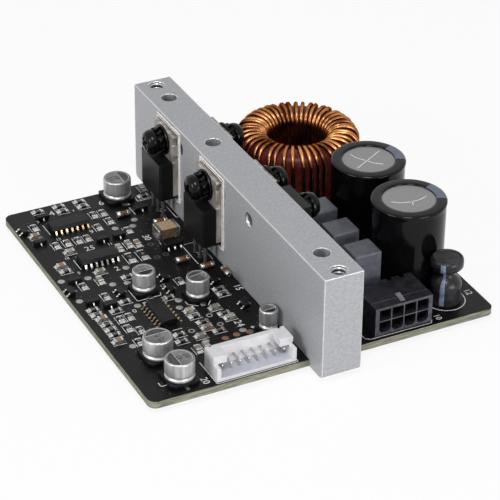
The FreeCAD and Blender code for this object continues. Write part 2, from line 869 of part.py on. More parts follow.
# Signal header
def make_signal_header():
    length = (signal_pins - 1) * signal_pitch + 2.0 * signal_end
    centre = grid_point(signal_x + grid_steps / 2.0, 0.0).x
    left = centre - length / 2.0
    right = centre + length / 2.0
    front = board_front + signal_front
    back = front + signal_depth
    top = board_top + signal_height
    housing = box(left, right, front, back, board_top, top)
    floor = board_top + signal_floor
    side_top = board_top + signal_side_height
    pocket_back = back - signal_back_wall
    ear = signal_wall + signal_ear_reach
    ear_front = front + signal_ear_front
    cutters = [
        # the tray, and its open top between the two ears
        box(left + signal_wall, right - signal_wall, front - overcut, pocket_back, floor, side_top),
        box(left + ear, right - ear, front - overcut, pocket_back, floor, top + overcut),
        # the side walls are lower in front of the ears
        box(left - overcut, right + overcut, front - overcut, ear_front, side_top, top + overcut),
    ]
    for side in (left, right):
        # a slot under each ear's outer edge, and a notch beside each corner post
        cutters.append(box(
            side - signal_ear_notch / 2.0, side + signal_ear_notch / 2.0,
            ear_front - overcut, ear_front + signal_ear_notch,
            side_top, side_top + signal_ear_notch,
        ))
    for post in (left + signal_wall, right - signal_wall - signal_ear_notch):
        cutters.append(box(
            post, post + signal_ear_notch,
            back - signal_ear_notch, back + overcut,
            board_top + signal_floor, top + overcut,
        ))
    pins = []
    for n in range(signal_pins):
        x = centre + (n - (signal_pins - 1) / 2.0) * signal_pitch
        half = signal_pin / 2.0
        level = board_top + signal_pin_height
        tip = front + signal_pin_inset
        drop = back + signal_tail_gap + half
        through_lead(FreeCAD.Vector(x, drop, 0.0), math.hypot(half, half))
        pins.append(extruded([
            (tip, level - half), (drop - half, level - half), (drop - half, tail_bottom),
            (drop + half, tail_bottom), (drop + half, level + half), (tip, level + half),
        ], x - half, signal_pin, "yz"))
    save("signal_header_housing", [cut_all(housing, cutters + pins)])
    save("signal_header_pins", pins)


# Surface mounted electrolytic cans
def make_cans():
    bases = []
    feet = []
    for number, (x, y, radius) in enumerate(can_places, 1):
        centre = grid_point(x, y)
        low = can_base_height
        groove = low + can_groove_height
        outline = [
            (0.0, low), (radius, low), (radius, groove - can_groove_half),
            (radius - can_groove_depth, groove), (radius, groove + can_groove_half),
            (radius, can_height - can_rim), (radius - can_rim, can_height), (0.0, can_height),
        ]
        save("smd_capacitor_" + str(number), [turned(outline, centre, medium_sides)])
        side = radius + can_base_margin
        c = can_base_chamfer
        corners = [
            (-side, -side + c), (-side + c, -side), (side - c, -side), (side, -side + c),
            (side, side), (-side, side),
        ]
        level = [(centre.x + a, centre.y + b) for a, b in corners]
        base = extruded(level, board_top + can_foot_thickness, low - can_foot_thickness, "xy")
        bases.append(base)
        for sign in (-1.0, 1.0):
            reach = side + can_foot_reach
            inner = side - can_foot_reach
            y0 = min(sign * inner, sign * reach)
            feet.append(box(
                centre.x - can_foot_width / 2.0, centre.x + can_foot_width / 2.0,
                centre.y + y0, centre.y + y0 + reach - inner,
                board_top, board_top + can_foot_thickness,
            ))
    save("smd_capacitor_bases", bases)
    save("smd_capacitor_feet", feet)


# Small outline packages
def make_packages():
    for number, (x, y, turn) in enumerate(package_places, 1):
        centre = grid_point(x, y)
        half_l = package_length / 2.0
        half_w = package_width / 2.0
        low = package_standoff
        high = low + package_height
        middle = (low + high) / 2.0
        b = package_bevel
        outline = [
            (-half_w + b, low), (half_w - b, low), (half_w, middle),
            (half_w - b, high), (-half_w + b, high), (-half_w, middle),
        ]
        level = [(centre.y + a, centre.z + z) for a, z in outline]
        body = extruded(level, centre.x - half_l, package_length, "yz")
        leads = []
        t = package_lead_thickness
        tip = half_w + package_lead_reach
        shoulder = half_w + package_lead_shoulder
        wing = [
            (half_w, middle - 0.5 * t), (half_w, middle + 0.5 * t),
            (shoulder, middle + 0.5 * t),
            (tip - package_lead_foot + t, t), (tip, t), (tip, 0.0),
            (tip - package_lead_foot, 0.0),
            (shoulder - t, middle - 0.5 * t),
        ]
        for n in range(package_leads):
            along = (n - (package_leads - 1) / 2.0) * package_lead_pitch
            for sign in (-1.0, 1.0):
                shape = [(centre.y + sign * a, centre.z + z) for a, z in wing]
                start = centre.x + along - package_lead_width / 2.0
                leads.append(extruded(shape, start, package_lead_width, "yz"))
        save("control_chip_" + str(number) + "_body", [spun(body, centre, turn)])
        save("control_chip_" + str(number) + "_leads", [spun(s, centre, turn) for s in leads])


# Large ceramic capacitor
def make_ceramic():
    middle_row = sum(left_rows) / 2.0
    centre = point(ceramic_x, middle_row)
    low = ceramic_standoff
    high = low + ceramic_height
    half = ceramic_length / 2.0
    block = box_at(centre, ceramic_length, ceramic_width, low, high)
    frames = []
    for sign in (-1.0, 1.0):
        outline = [
            (sign * half, 0.0), (sign * (half + ceramic_frame), 0.0), (sign * (half + ceramic_frame), high),
            (sign * half, high), (sign * half, low), (sign * (half - ceramic_foot), low),
            (sign * (half - ceramic_foot), low - ceramic_frame), (sign * half, low - ceramic_frame),
        ]
        level = [(centre.x + a, centre.z + z) for a, z in outline]
        frames.append(extruded(level, centre.y - ceramic_width / 2.0, ceramic_width))
    save("ceramic_capacitor", [block])
    save("ceramic_capacitor_frames", frames)


# Rows of small parts
def make_small_parts():
    def blocks(size, places):
        solids = []
        for x, y, turn in places:
            centre = grid_point(x, y)
            solids.append(spun(box_at(centre, size[0], size[1], 0.0, size[2]), centre, turn))
        return solids

    resistors = blocks(resistor_size, resistor_places)
    resistors += blocks(large_resistor_size, large_resistor_places)
    save("chip_resistors", resistors)
    save("chip_capacitors", blocks(capacitor_size, capacitor_places))
    save("small_transistors", blocks(transistor_size, transistor_places))
    diodes = []
    places = [(grid_point(x, y), turn) for x, y, turn in diode_places]
    places += [(point(x, left_rows[-1] + y), 0.0) for x, y in row_diode_places]
    places.append((point(-bar_face - side_diode_gap - diode_r, side_diode_y), 90.0))
    for centre, turn in places:
        half = diode_length / 2.0
        shape = disc_along_x(centre.x - half, centre.x + half, centre.y, centre.z + diode_r, diode_r)
        diodes.append(spun(shape, centre, turn))
    save("diodes", diodes)


# Circuit board, last, because every lead above has left its hole
def make_board():
    board = box(-board_width / 2.0, board_width / 2.0, board_front, board_back, board_bottom, board_top)
    board = board.makeFillet(board_corner_r, edges_along(board, up))
    screws = [rod(place, bar_screw_r + board_screw_gap, 0.0, bar_top) for place in bar_screw_places()]
    return cut_all(board, board_cutters + screws)


os.makedirs("parts", exist_ok=True)
save("heat_bar", [make_bar()])
save("bar_screws", [bar_screw(place) for place in bar_screw_places()])
make_transistors()
make_toroid()
make_bulk_capacitors()
make_film_capacitors()
make_choke()
make_power_header()
make_signal_header()
make_cans()
make_packages()
make_ceramic()
make_small_parts()
save("circuit_board", [make_board()])
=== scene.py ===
import math
import random
import bpy
import bmesh
from mathutils import Matrix, Vector


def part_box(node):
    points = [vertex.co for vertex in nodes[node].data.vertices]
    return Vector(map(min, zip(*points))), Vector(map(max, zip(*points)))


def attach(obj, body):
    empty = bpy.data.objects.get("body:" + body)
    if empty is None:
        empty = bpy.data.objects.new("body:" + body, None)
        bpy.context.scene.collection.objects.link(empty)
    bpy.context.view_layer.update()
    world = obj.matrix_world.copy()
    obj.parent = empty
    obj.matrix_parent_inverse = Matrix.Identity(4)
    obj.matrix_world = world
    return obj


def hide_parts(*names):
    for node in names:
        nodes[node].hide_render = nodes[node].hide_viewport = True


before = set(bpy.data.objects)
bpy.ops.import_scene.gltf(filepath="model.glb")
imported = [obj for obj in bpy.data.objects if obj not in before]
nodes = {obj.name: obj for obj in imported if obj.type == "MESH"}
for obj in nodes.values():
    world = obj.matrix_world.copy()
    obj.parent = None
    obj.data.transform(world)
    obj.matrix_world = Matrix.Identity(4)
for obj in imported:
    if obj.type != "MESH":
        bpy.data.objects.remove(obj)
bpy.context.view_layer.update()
mm = 0.001
chance = random.Random(7)
across = Vector((1.0, 0.0, 0.0))
upward = Vector((0.0, 0.0, 1.0))
boardLow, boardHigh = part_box("circuit_board")
boardTop = boardHigh.z
boardUnder = boardLow.z
# a matrix that carries a shape to a place
at = Matrix.Translation


def onBoard(x, y, z=0.0):
    # millimetres from the board's front left corner and above its top
    return Vector((boardLow.x + x * mm, boardLow.y + y * mm, boardTop + z * mm))


def footOf(low, high):
    # the middle of a box, set down on the board's top
    return Vector(((low.x + high.x) / 2.0, (low.y + high.y) / 2.0, boardTop))


def spun(degrees, axis="Z"):
    # a matrix that turns a shape
    return Matrix.Rotation(math.radians(degrees), 4, axis)


def toward(centre, axis):
    # a matrix that stands a shape drawn along Z at a place, along another axis
    return at(centre) @ axis.to_track_quat("Z", "Y").to_matrix().to_4x4()


def tone(shown):
    # a colour as a screen shows it, turned to the shader's linear one
    linear = [((c / 255.0 + 0.055) / 1.055) ** 2.4 if c > 10 else c / 3295.0 for c in shown]
    return (*linear, 1.0)


# Materials: two tones mixed by a noise, which also moves the roughness, and a finer noise for the relief
def setInputs(tree, node, inputs):
    # each input is set to a plain value, or joined to another node's output
    for key, value in inputs.items():
        if isinstance(value, bpy.types.NodeSocket):
            tree.links.new(value, node.inputs[key])
        else:
            node.inputs[key].default_value = value


def addNode(tree, kind, inputs, **settings):
    node = tree.nodes.new("ShaderNode" + kind)
    for name, value in settings.items():
        setattr(node, name, value)
    setInputs(tree, node, inputs)
    return node


finishes = {}


def surface(name, light, dark, grain, rough, stretch=(1.0, 1.0, 1.0), relief=0.15, reliefGrain=3500.0,
            reliefDepth=0.02, metal=0.0, specular=0.5, **others):
    # the noise seldom leaves its middle, so only this much of it is spread over the two tones
    noise = {"low": 0.32, "high": 0.68, "detail": 4.0, "roughness": 0.6, "fineDetail": 3.0}
    material = bpy.data.materials.new(name)
    material.use_nodes = True
    tree = material.node_tree
    place = addNode(tree, "TexCoord", {})
    spot = addNode(tree, "Mapping", {"Scale": stretch, "Vector": place.outputs["Object"]}).outputs["Vector"]
    patches = addNode(tree, "TexNoise", {"Scale": grain, "Detail": noise["detail"], "Roughness": noise["roughness"],
                                         "Vector": spot}).outputs["Fac"]
    spread = addNode(tree, "MapRange", {"From Min": noise["low"], "From Max": noise["high"], "Value": patches})
    blend = addNode(tree, "Mix", {"A": tone(dark), "B": tone(light), "Factor": spread.outputs["Result"]},
                    data_type="RGBA")
    gloss = addNode(tree, "MapRange", {"To Min": rough[0], "To Max": rough[1], "Value": patches})
    grit = addNode(tree, "TexNoise", {"Scale": reliefGrain, "Detail": noise["fineDetail"], "Vector": spot})
    bump = addNode(tree, "Bump", {"Strength": relief, "Distance": reliefDepth * mm, "Height": grit.outputs["Fac"]})
    inputs = {"Base Color": blend.outputs["Result"], "Roughness": gloss.outputs["Result"],
              "Normal": bump.outputs["Normal"], "Metallic": metal, "Specular IOR Level": specular}
    inputs.update({key.replace("_", " "): value for key, value in others.items()})
    setInputs(tree, tree.nodes["Principled BSDF"], inputs)
    finishes[name] = material


# each says its light and dark tone, its grain and its range of roughness, and then what isn't as usual
surface("solderMask", (16, 16, 18), (9, 9, 10), 240.0, (0.3, 0.42), relief=0.3, reliefGrain=1500.0, reliefDepth=0.03,
        specular=0.13)
surface("glassFibre", (158, 157, 140), (88, 88, 74), 700.0, (0.5, 0.7), stretch=(0.4, 0.4, 7.0), relief=0.5,
        reliefGrain=2500.0, specular=0.25)
surface("silkInk", (240, 240, 242), (188, 188, 192), 3000.0, (0.55, 0.7))
surface("milledAluminium", (176, 177, 180), (156, 157, 161), 1800.0, (0.38, 0.5), relief=0.4, reliefGrain=4200.0,
        reliefDepth=0.02, metal=0.2, specular=0.3)
surface("cutAluminium", (222, 222, 224), (170, 171, 174), 1500.0, (0.2, 0.3), metal=0.8)
# a painted highlight, for the bar's rounded edges and the upper flanks of its threads
surface("highlightAluminium", (212, 213, 216), (184, 185, 188), 2600.0, (0.3, 0.42), metal=0.35)
surface("boreAluminium", (176, 177, 180), (112, 113, 116), 900.0, (0.3, 0.45), stretch=(1.0, 1.0, 0.2), relief=0.3,
        metal=0.3)
surface("canAluminium", (204, 204, 204), (158, 158, 159), 900.0, (0.34, 0.46), stretch=(1.0, 1.0, 0.1), relief=0.2,
        metal=0.7)
surface("canTopAluminium", (134, 134, 135), (110, 110, 111), 1600.0, (0.36, 0.46), relief=0.3, metal=0.7)
surface("discAluminium", (146, 146, 147), (128, 128, 129), 2600.0, (0.36, 0.48), relief=0.35, reliefGrain=3000.0,
        metal=0.7)
surface("polarityInk", (26, 26, 28), (16, 16, 18), 2500.0, (0.4, 0.5), specular=0.2)
surface("fadedInk", (88, 87, 86), (52, 52, 52), 2500.0, (0.4, 0.5), specular=0.2)
surface("blackResin", (20, 20, 22), (11, 11, 13), 1200.0, (0.3, 0.42), relief=0.35, reliefGrain=6000.0,
        specular=0.16)
surface("headerPlastic", (42, 42, 48), (18, 18, 21), 420.0, (0.4, 0.55), relief=0.55, reliefGrain=2600.0,
        specular=0.18)
surface("plasticHighlight", (88, 88, 97), (56, 56, 63), 700.0, (0.4, 0.55), relief=0.3, reliefGrain=4000.0, specular=0.2)
surface("whiteNylon", (218, 217, 219), (204, 203, 207), 500.0, (0.35, 0.48), relief=0.2, Subsurface_Weight=0.1,
        Subsurface_Scale=0.0008, Subsurface_Radius=(1.0, 1.0, 1.0), specular=0.3)
surface("trayNylonShade", (190, 192, 202), (176, 178, 189), 500.0, (0.35, 0.48), relief=0.2, specular=0.3)
surface("filmPlastic", (100, 102, 111), (84, 86, 94), 900.0, (0.34, 0.46), relief=0.25, reliefGrain=3000.0,
        specular=0.3)
surface("shinySleeve", (10, 10, 12), (6, 6, 7), 300.0, (0.1, 0.16), relief=0.12, reliefGrain=400.0, reliefDepth=0.05,
        specular=0.18)
surface("sleeveStripe", (100, 108, 123), (92, 99, 114), 600.0, (0.24, 0.32), specular=0.3)
surface("shrunkSleeve", (44, 44, 48), (18, 18, 21), 420.0, (0.24, 0.36), relief=0.6, reliefGrain=500.0,
        reliefDepth=0.12, specular=0.3)
surface("chokeStripe", (130, 143, 166), (86, 98, 122), 900.0, (0.3, 0.4))
surface("roughFerrite", (62, 61, 63), (26, 26, 28), 900.0, (0.5, 0.7), relief=0.8, reliefGrain=2600.0,
        reliefDepth=0.08, specular=0.25)
surface("wineCoating", (112, 44, 42), (70, 27, 27), 500.0, (0.3, 0.4), relief=0.2, specular=0.16)
surface("enamelledCopper", (216, 152, 98), (76, 36, 18), 170.0, (0.23, 0.3), relief=0.0, metal=1.0,
        Specular_Tint=(0.3, 0.17, 0.12, 1.0))
surface("solderMetal", (150, 149, 147), (104, 103, 102), 2200.0, (0.2, 0.34), relief=0.5, reliefGrain=1800.0,
        reliefDepth=0.04, metal=0.9)
surface("tabMetal", (196, 192, 184), (118, 112, 104), 700.0, (0.34, 0.46), stretch=(1.0, 1.0, 0.25), relief=0.3,
        metal=0.5)
surface("legMetalShade", (120, 118, 114), (78, 77, 74), 1200.0, (0.34, 0.46), metal=0.5)
surface("legTin", (176, 175, 172), (110, 109, 106), 1900.0, (0.26, 0.38), relief=0.4, metal=0.8)
surface("pinMetalShade", (84, 80, 72), (54, 52, 47), 1500.0, (0.3, 0.4), metal=0.8)
surface("padMetal", (178, 177, 172), (150, 149, 145), 1500.0, (0.36, 0.5), metal=0.6)
surface("copperPad", (150, 112, 92), (112, 84, 70), 1500.0, (0.36, 0.5), metal=0.4)
# dark plated metal for vias and pads, and the painted shade on the thread flanks
surface("viaMetalAndThreadShade", (74, 73, 72), (46, 46, 46), 1500.0, (0.4, 0.5))
surface("chipTin", (226, 225, 221), (150, 149, 146), 1900.0, (0.18, 0.3), relief=0.5, reliefGrain=1800.0,
        reliefDepth=0.04, metal=0.9)
surface("chipMark", (158, 158, 156), (120, 120, 118), 2500.0, (0.5, 0.6))
surface("chipPale", (176, 170, 158), (140, 134, 122), 1600.0, (0.35, 0.5), specular=0.3)
surface("latchPlastic", (126, 126, 140), (104, 104, 116), 700.0, (0.4, 0.55), relief=0.3, reliefGrain=4000.0,
        specular=0.22)
surface("scoreHighlight", (250, 250, 250), (205, 205, 206), 1500.0, (0.3, 0.4))
surface("leadSilver", (228, 225, 216), (160, 157, 150), 1500.0, (0.2, 0.32), relief=0.2, metal=0.9)
surface("leadBrown", (208, 188, 160), (132, 112, 90), 1500.0, (0.24, 0.36), relief=0.2, metal=0.9)
surface("goldLead", (222, 204, 164), (150, 124, 84), 1500.0, (0.22, 0.34), relief=0.2, metal=0.9)
surface("blackenedSteel", (9, 9, 10), (4, 4, 5), 900.0, (0.12, 0.22), relief=0.25, reliefGrain=2500.0, specular=0.16)
surface("plainSteel", (150, 150, 152), (118, 118, 120), 900.0, (0.25, 0.38), metal=1.0)
surface("chipBlack", (26, 25, 26), (14, 14, 15), 2500.0, (0.3, 0.45), specular=0.2)
surface("chipTan", (152, 128, 108), (104, 84, 68), 1600.0, (0.35, 0.5), specular=0.3)
surface("chipGrey", (142, 140, 128), (104, 102, 94), 1600.0, (0.35, 0.5), specular=0.3)
surface("bigTan", (182, 158, 128), (158, 134, 106), 900.0, (0.42, 0.55), relief=0.3, specular=0.3)
surface("bigTanShade", (122, 101, 82), (92, 75, 61), 900.0, (0.42, 0.55), relief=0.3, specular=0.25)
surface("diodeGlass", (120, 84, 60), (54, 38, 30), 1500.0, (0.08, 0.15))
surface("clearFoil", (240, 236, 234), (208, 200, 198), 500.0, (0.1, 0.2), relief=0.5, reliefGrain=600.0,
        reliefDepth=0.06, Alpha=0.36)
surface("foilEdgeHighlight", (255, 254, 253), (236, 222, 216), 900.0, (0.15, 0.3), specular=0.6)


# Shapes: each is a bmesh, made by operators and then turned into a piece
def weld(shape, gap=1e-7):
    bmesh.ops.remove_doubles(shape, verts=shape.verts[:], dist=gap)
    return shape


def outward(shape):
    bmesh.ops.recalc_face_normals(shape, faces=shape.faces[:])
    return shape


def bevelled(shape, edges, width, segments, clamp=False):
    bmesh.ops.bevel(shape, geom=edges, offset=width * mm, offset_type="OFFSET", segments=segments, profile=0.5,
                    affect="EDGES", clamp_overlap=clamp, material=-1)
    return shape


def roundEdges(shape, width, segments=2, above=35.0):
    limit = math.radians(above)
    return bevelled(shape, [edge for edge in shape.edges if edge.calc_face_angle(0.0) > limit], width, segments, True)


def block(low, high, width=0.0, segments=2):
    # a block between two corners in metres, its edges rounded by a width in millimetres
    shape = bmesh.new()
    place = at((low + high) / 2.0) @ Matrix.Diagonal((*(high - low), 1.0))
    bmesh.ops.create_cube(shape, size=1.0, matrix=place)
    return roundEdges(shape, width, segments) if width else shape


def blockMm(x0, x1, y0, y1, z0, z1, width=0.0, segments=1):
    return block(Vector((x0, y0, z0)) * mm, Vector((x1, y1, z1)) * mm, width, segments)


def turned(outline, steps):
    # an outline of radius and height in millimetres, spun round Z
    shape = bmesh.new()
    chain = [shape.verts.new((r * mm, 0.0, z * mm)) for r, z in outline]
    links = [shape.edges.new(pair) for pair in zip(chain, chain[1:])]
    bmesh.ops.spin(shape, geom=chain + links, cent=(0, 0, 0), axis=(0, 0, 1), angle=2.0 * math.pi,
                   steps=steps, use_merge=True)
    weld(shape)
    bmesh.ops.dissolve_degenerate(shape, dist=1e-8, edges=shape.edges[:])
    return outward(shape)


def wire(points, radius, sides):
    # a round wire along points in metres, its radius in millimetres
    shape = bmesh.new()
    last = len(points) - 1
    headings = [(points[min(i + 1, last)] - points[max(i - 1, 0)]).normalized() for i in range(last + 1)]
    start = at(points[0]) @ headings[0].to_track_quat("Z", "X").to_matrix().to_4x4()
    ring = bmesh.ops.create_circle(shape, cap_ends=True, radius=radius * mm, segments=sides, matrix=start)["verts"]
    rim = shape.edges[:]
    for i in range(1, last + 1):
        made = bmesh.ops.extrude_edge_only(shape, edges=rim)["geom"]
        ring = [part for part in made if isinstance(part, bmesh.types.BMVert)]
        rim = [part for part in made if isinstance(part, bmesh.types.BMEdge)]
        bend = headings[i - 1].rotation_difference(headings[i]).to_matrix()
        bmesh.ops.rotate(shape, cent=points[i - 1], matrix=bend, verts=ring)
        bmesh.ops.translate(shape, vec=points[i] - points[i - 1], verts=ring)
    bmesh.ops.edgeloop_fill(shape, edges=rim)
    return outward(shape)


def paint(shape, index, test=None):
    for face in shape.faces:
        if test is None or test(face):
            face.material_index = index
    return shape


def moved(shape, place):
    # a shape carried by a matrix, its faces still outwards
    shape.transform(place)
    if place.determinant() < 0.0:
        bmesh.ops.reverse_faces(shape, faces=shape.faces[:])
    return shape


def meshOf(shape, name):
    mesh = bpy.data.meshes.new(name)
    shape.to_mesh(mesh)
    shape.free()
    return mesh


def placed(name, data):
    thing = bpy.data.objects.new(name, data)
    bpy.context.scene.collection.objects.link(thing)
    return thing


def finalMesh(thing):
    # an object's mesh with its modifiers or its bevel worked out
    return bpy.data.meshes.new_from_object(thing.evaluated_get(bpy.context.evaluated_depsgraph_get()))


def stamp(whole, shape, place=None, keep=False):
    # a shape added to a larger one, and kept for the next stamp if asked
    mesh = meshOf(shape.copy() if keep else shape, "stamp")
    if place is not None:
        mesh.transform(place)
        if place.determinant() < 0.0:
            mesh.flip_normals()
    whole.from_mesh(mesh)
    bpy.data.meshes.remove(mesh)


def scatter(whole, shape, places):
    # a copy of the shape at each place on the board
    for x, y in places:
        stamp(whole, shape, at(onBoard(x, y)), True)


def carved(shape, cutters):
    # the shape with each cutter taken out of it
    things = [placed("carve" + str(number), meshOf(solid, "carve")) for number, solid in enumerate([shape, *cutters])]
    for cutter in things[1:]:
        cut = things[0].modifiers.new("cut", "BOOLEAN")
        cut.operation = "DIFFERENCE"
        cut.solver = "EXACT"
        cut.object = cutter
    result = bmesh.new()
    result.from_mesh(finalMesh(things[0]))
    for thing in things:
        bpy.data.objects.remove(thing)
    return weld(result)


def solidOf(node):
    shape = bmesh.new()
    shape.from_mesh(nodes[node].data)
    return weld(shape, 2e-6)


def copyOf(node):
    # a CAD node's mesh with its loose triangles merged into clean faces
    shape = solidOf(node)
    bmesh.ops.dissolve_limit(shape, angle_limit=math.radians(1.0), verts=shape.verts[:], edges=shape.edges[:])
    return shape


def looseParts(node):
    # the box of each separate solid in a CAD node
    shape = solidOf(node)
    waiting = set(shape.verts)
    boxes = []
    while waiting:
        front = [waiting.pop()]
        island = []
        while front:
            vert = front.pop()
            island.append(vert.co.copy())
            for edge in vert.link_edges:
                other = edge.other_vert(vert)
                if other in waiting:
                    waiting.discard(other)
                    front.append(other)
        low = Vector([min(co[axis] for co in island) for axis in range(3)])
        high = Vector([max(co[axis] for co in island) for axis in range(3)])
        boxes.append((low, high))
    shape.free()
    return sorted(boxes, key=lambda pair: tuple(round(value, 6) for value in pair[0]))


def piece(name, shape, materials, stands=(), sharp=35.0):
    limit = math.radians(sharp)
    for face in shape.faces:
        face.smooth = True
    for edge in shape.edges:
        edge.smooth = edge.calc_face_angle(0.0) < limit
    thing = placed(name, meshOf(shape, name))
    for material in materials:
        thing.data.materials.append(finishes[material])
    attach(thing, "root")
    if stands:
        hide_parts(*stands)
    thing.modifiers.new("flats", "WEIGHTED_NORMAL").keep_sharp = True
    return thing


def soften(thing, width, segments=2, angle=35.0, material=-1):
    # rounded edges, which may have a material of their own
    bevel = thing.modifiers.new("edges", "BEVEL")
    bevel.width = width * mm
    bevel.segments = segments
    bevel.limit_method = "ANGLE"
    bevel.angle_limit = math.radians(angle)
    bevel.material = material
    # the bevel comes before the weighted normals
    thing.modifiers.move(len(thing.modifiers) - 1, 0)
    return thing


def dressed(node, name, material, width, segments=2):
    return soften(piece(name, copyOf(node), [material], [node], sharp=180.0), width, segments)


def keepNode(node, material):
    slots = nodes[node].data.materials
    slots.clear()
    slots.append(finishes[material])


def figures(word, height, turn):
    # plain figures as a thin flat mesh round their own middle, in millimetres and degrees
    look = {"sizeToHeight": 1.35, "thick": 0.012}
    curve = bpy.data.curves.new("figures", "FONT")
    curve.body = word
    curve.size = height * look["sizeToHeight"] * mm
    curve.extrude = look["thick"] * mm
    curve.resolution_u = 2
    curve.align_x = "CENTER"
    curve.align_y = "CENTER"
    thing = placed("figures", curve)
    mesh = finalMesh(thing)
    bpy.data.objects.remove(thing)
    shape = bmesh.new()
    shape.from_mesh(mesh)
    bpy.data.meshes.remove(mesh)
    return moved(weld(shape), spun(turn))


# Circuit board
def makeBoard():
    look = {"edge": 0.06, "edgeAngle": 50.0}
    shape = copyOf("circuit_board")
    paint(shape, 1, lambda face: abs(face.normal.z) < 0.5)
    board = piece("boardLook", shape, ["solderMask", "glassFibre"], ["circuit_board"])
    soften(board, look["edge"], 1, look["edgeAngle"])


# Heat bar
def makeBar():
    bar = {"side": 0.2, "edgeAngle": 50.0, "holeSides": 40, "footRound": 1.2, "mountRadius": 1.65, "mountDepth": 12.0,
           "mountMouth": 0.28, "mountInset": 2.5, "boltRadius": 1.7, "boltDepth": 30.0, "boltMouth": 0.2,
           "crossRadius": 1.25, "crossMouth": 0.5, "threadSides": 32, "threadPitch": 0.95, "threadCrest": 1.3,
           "threadRoot": 1.64, "threadBack": 1.66, "threadStart": 0.5, "threadRest": 0.9}
    low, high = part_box("heat_bar")
    shape = block(low, high)
    feet = []
    for edge in shape.edges:
        middle = (edge.verts[0].co + edge.verts[1].co) / 2.0
        if middle.z < low.z + 0.1 * mm and min(middle.y - low.y, high.y - middle.y) < 0.1 * mm:
            feet.append(edge)
    bevelled(shape, feet, bar["footRound"], 6)
    notchLow = Vector((low.x - mm, boardLow.y - 0.1 * mm, low.z - mm))
    notchHigh = Vector((high.x + mm, boardHigh.y + 0.1 * mm, boardTop))
    cutters = [block(notchLow, notchHigh)]
    drilled = []

    def drill(place, axis, radius, mouth, depth, through=False):
        # a hole with a small countersink at its open end, or at both
        wide = radius + mouth + 1.0
        outline = [(0.0, 1.0), (wide, 1.0), (radius, -mouth)]
        if through:
            outline += [(radius, mouth - depth), (wide, -1.0 - depth), (0.0, -1.0 - depth)]
        else:
            outline += [(radius, -depth), (0.0, -depth)]
        cutters.append(moved(turned(outline, bar["holeSides"]), toward(place, axis)))
        drilled.append((place, axis, radius, mouth))

    inset = bar["mountInset"] * mm
    mounts = [Vector((0.0, y, high.z)) for y in (low.y + inset, high.y - inset)]
    for place in mounts:
        drill(place, upward, bar["mountRadius"], bar["mountMouth"], bar["mountDepth"])
    for boltLow, boltHigh in looseParts("bar_screws"):
        place = Vector((0.0, (boltLow.y + boltHigh.y) / 2.0, high.z))
        drill(place, upward, bar["boltRadius"], bar["boltMouth"], bar["boltDepth"])
    for boltLow, boltHigh in looseParts("fixing_screws"):
        middle = (boltLow + boltHigh) / 2.0
        drill(Vector((high.x, middle.y, middle.z)), across, bar["crossRadius"], bar["crossMouth"],
              (high.x - low.x) / mm, True)
    shape = carved(shape, cutters)

    for face in shape.faces:
        middle = face.calc_center_median()
        for place, axis, radius, mouth in drilled:
            offset = middle - place
            aside = (offset - axis * offset.dot(axis)).length / mm
            # the countersink is brighter than the bore behind it
            if abs(face.normal.dot(axis)) < 0.9 and aside < radius + mouth + 0.02:
                face.material_index = 2 if aside < radius + 0.02 else 1
    dressedBar = piece("barLook", shape, ["milledAluminium", "cutAluminium", "boreAluminium", "highlightAluminium"],
                       ["heat_bar"], sharp=180.0)
    # the rounded edges get the painted highlight
    soften(dressedBar, bar["side"], 2, bar["edgeAngle"], 3)
    threads = bmesh.new()
    root, crest, back, pitch = (bar[key] for key in ("threadRoot", "threadCrest", "threadBack", "threadPitch"))
    half = (root + crest) / 2.0
    outline = []
    for turn in range(int((bar["mountDepth"] - bar["threadRest"]) / pitch)):
        z = -bar["threadStart"] - turn * pitch
        outline += [(root, z), (half, z - 0.18), (crest, z - 0.36), (crest, z - 0.46), (root, z - 0.82)]
    outline += [(back, outline[-1][1]), (back, outline[0][1]), outline[0]]
    for place in mounts:
        ring = turned(outline, bar["threadSides"])
        # the upper flank of each turn has a painted highlight, and the flanks facing down and the crest near the
        # middle have painted shade
        paint(ring, 1, lambda face: face.normal.z < 0.1 or face.calc_center_median().xy.length < half * mm)
        stamp(threads, ring, at(place))
    piece("barThreads", threads, ["highlightAluminium", "viaMetalAndThreadShade"], sharp=20.0)


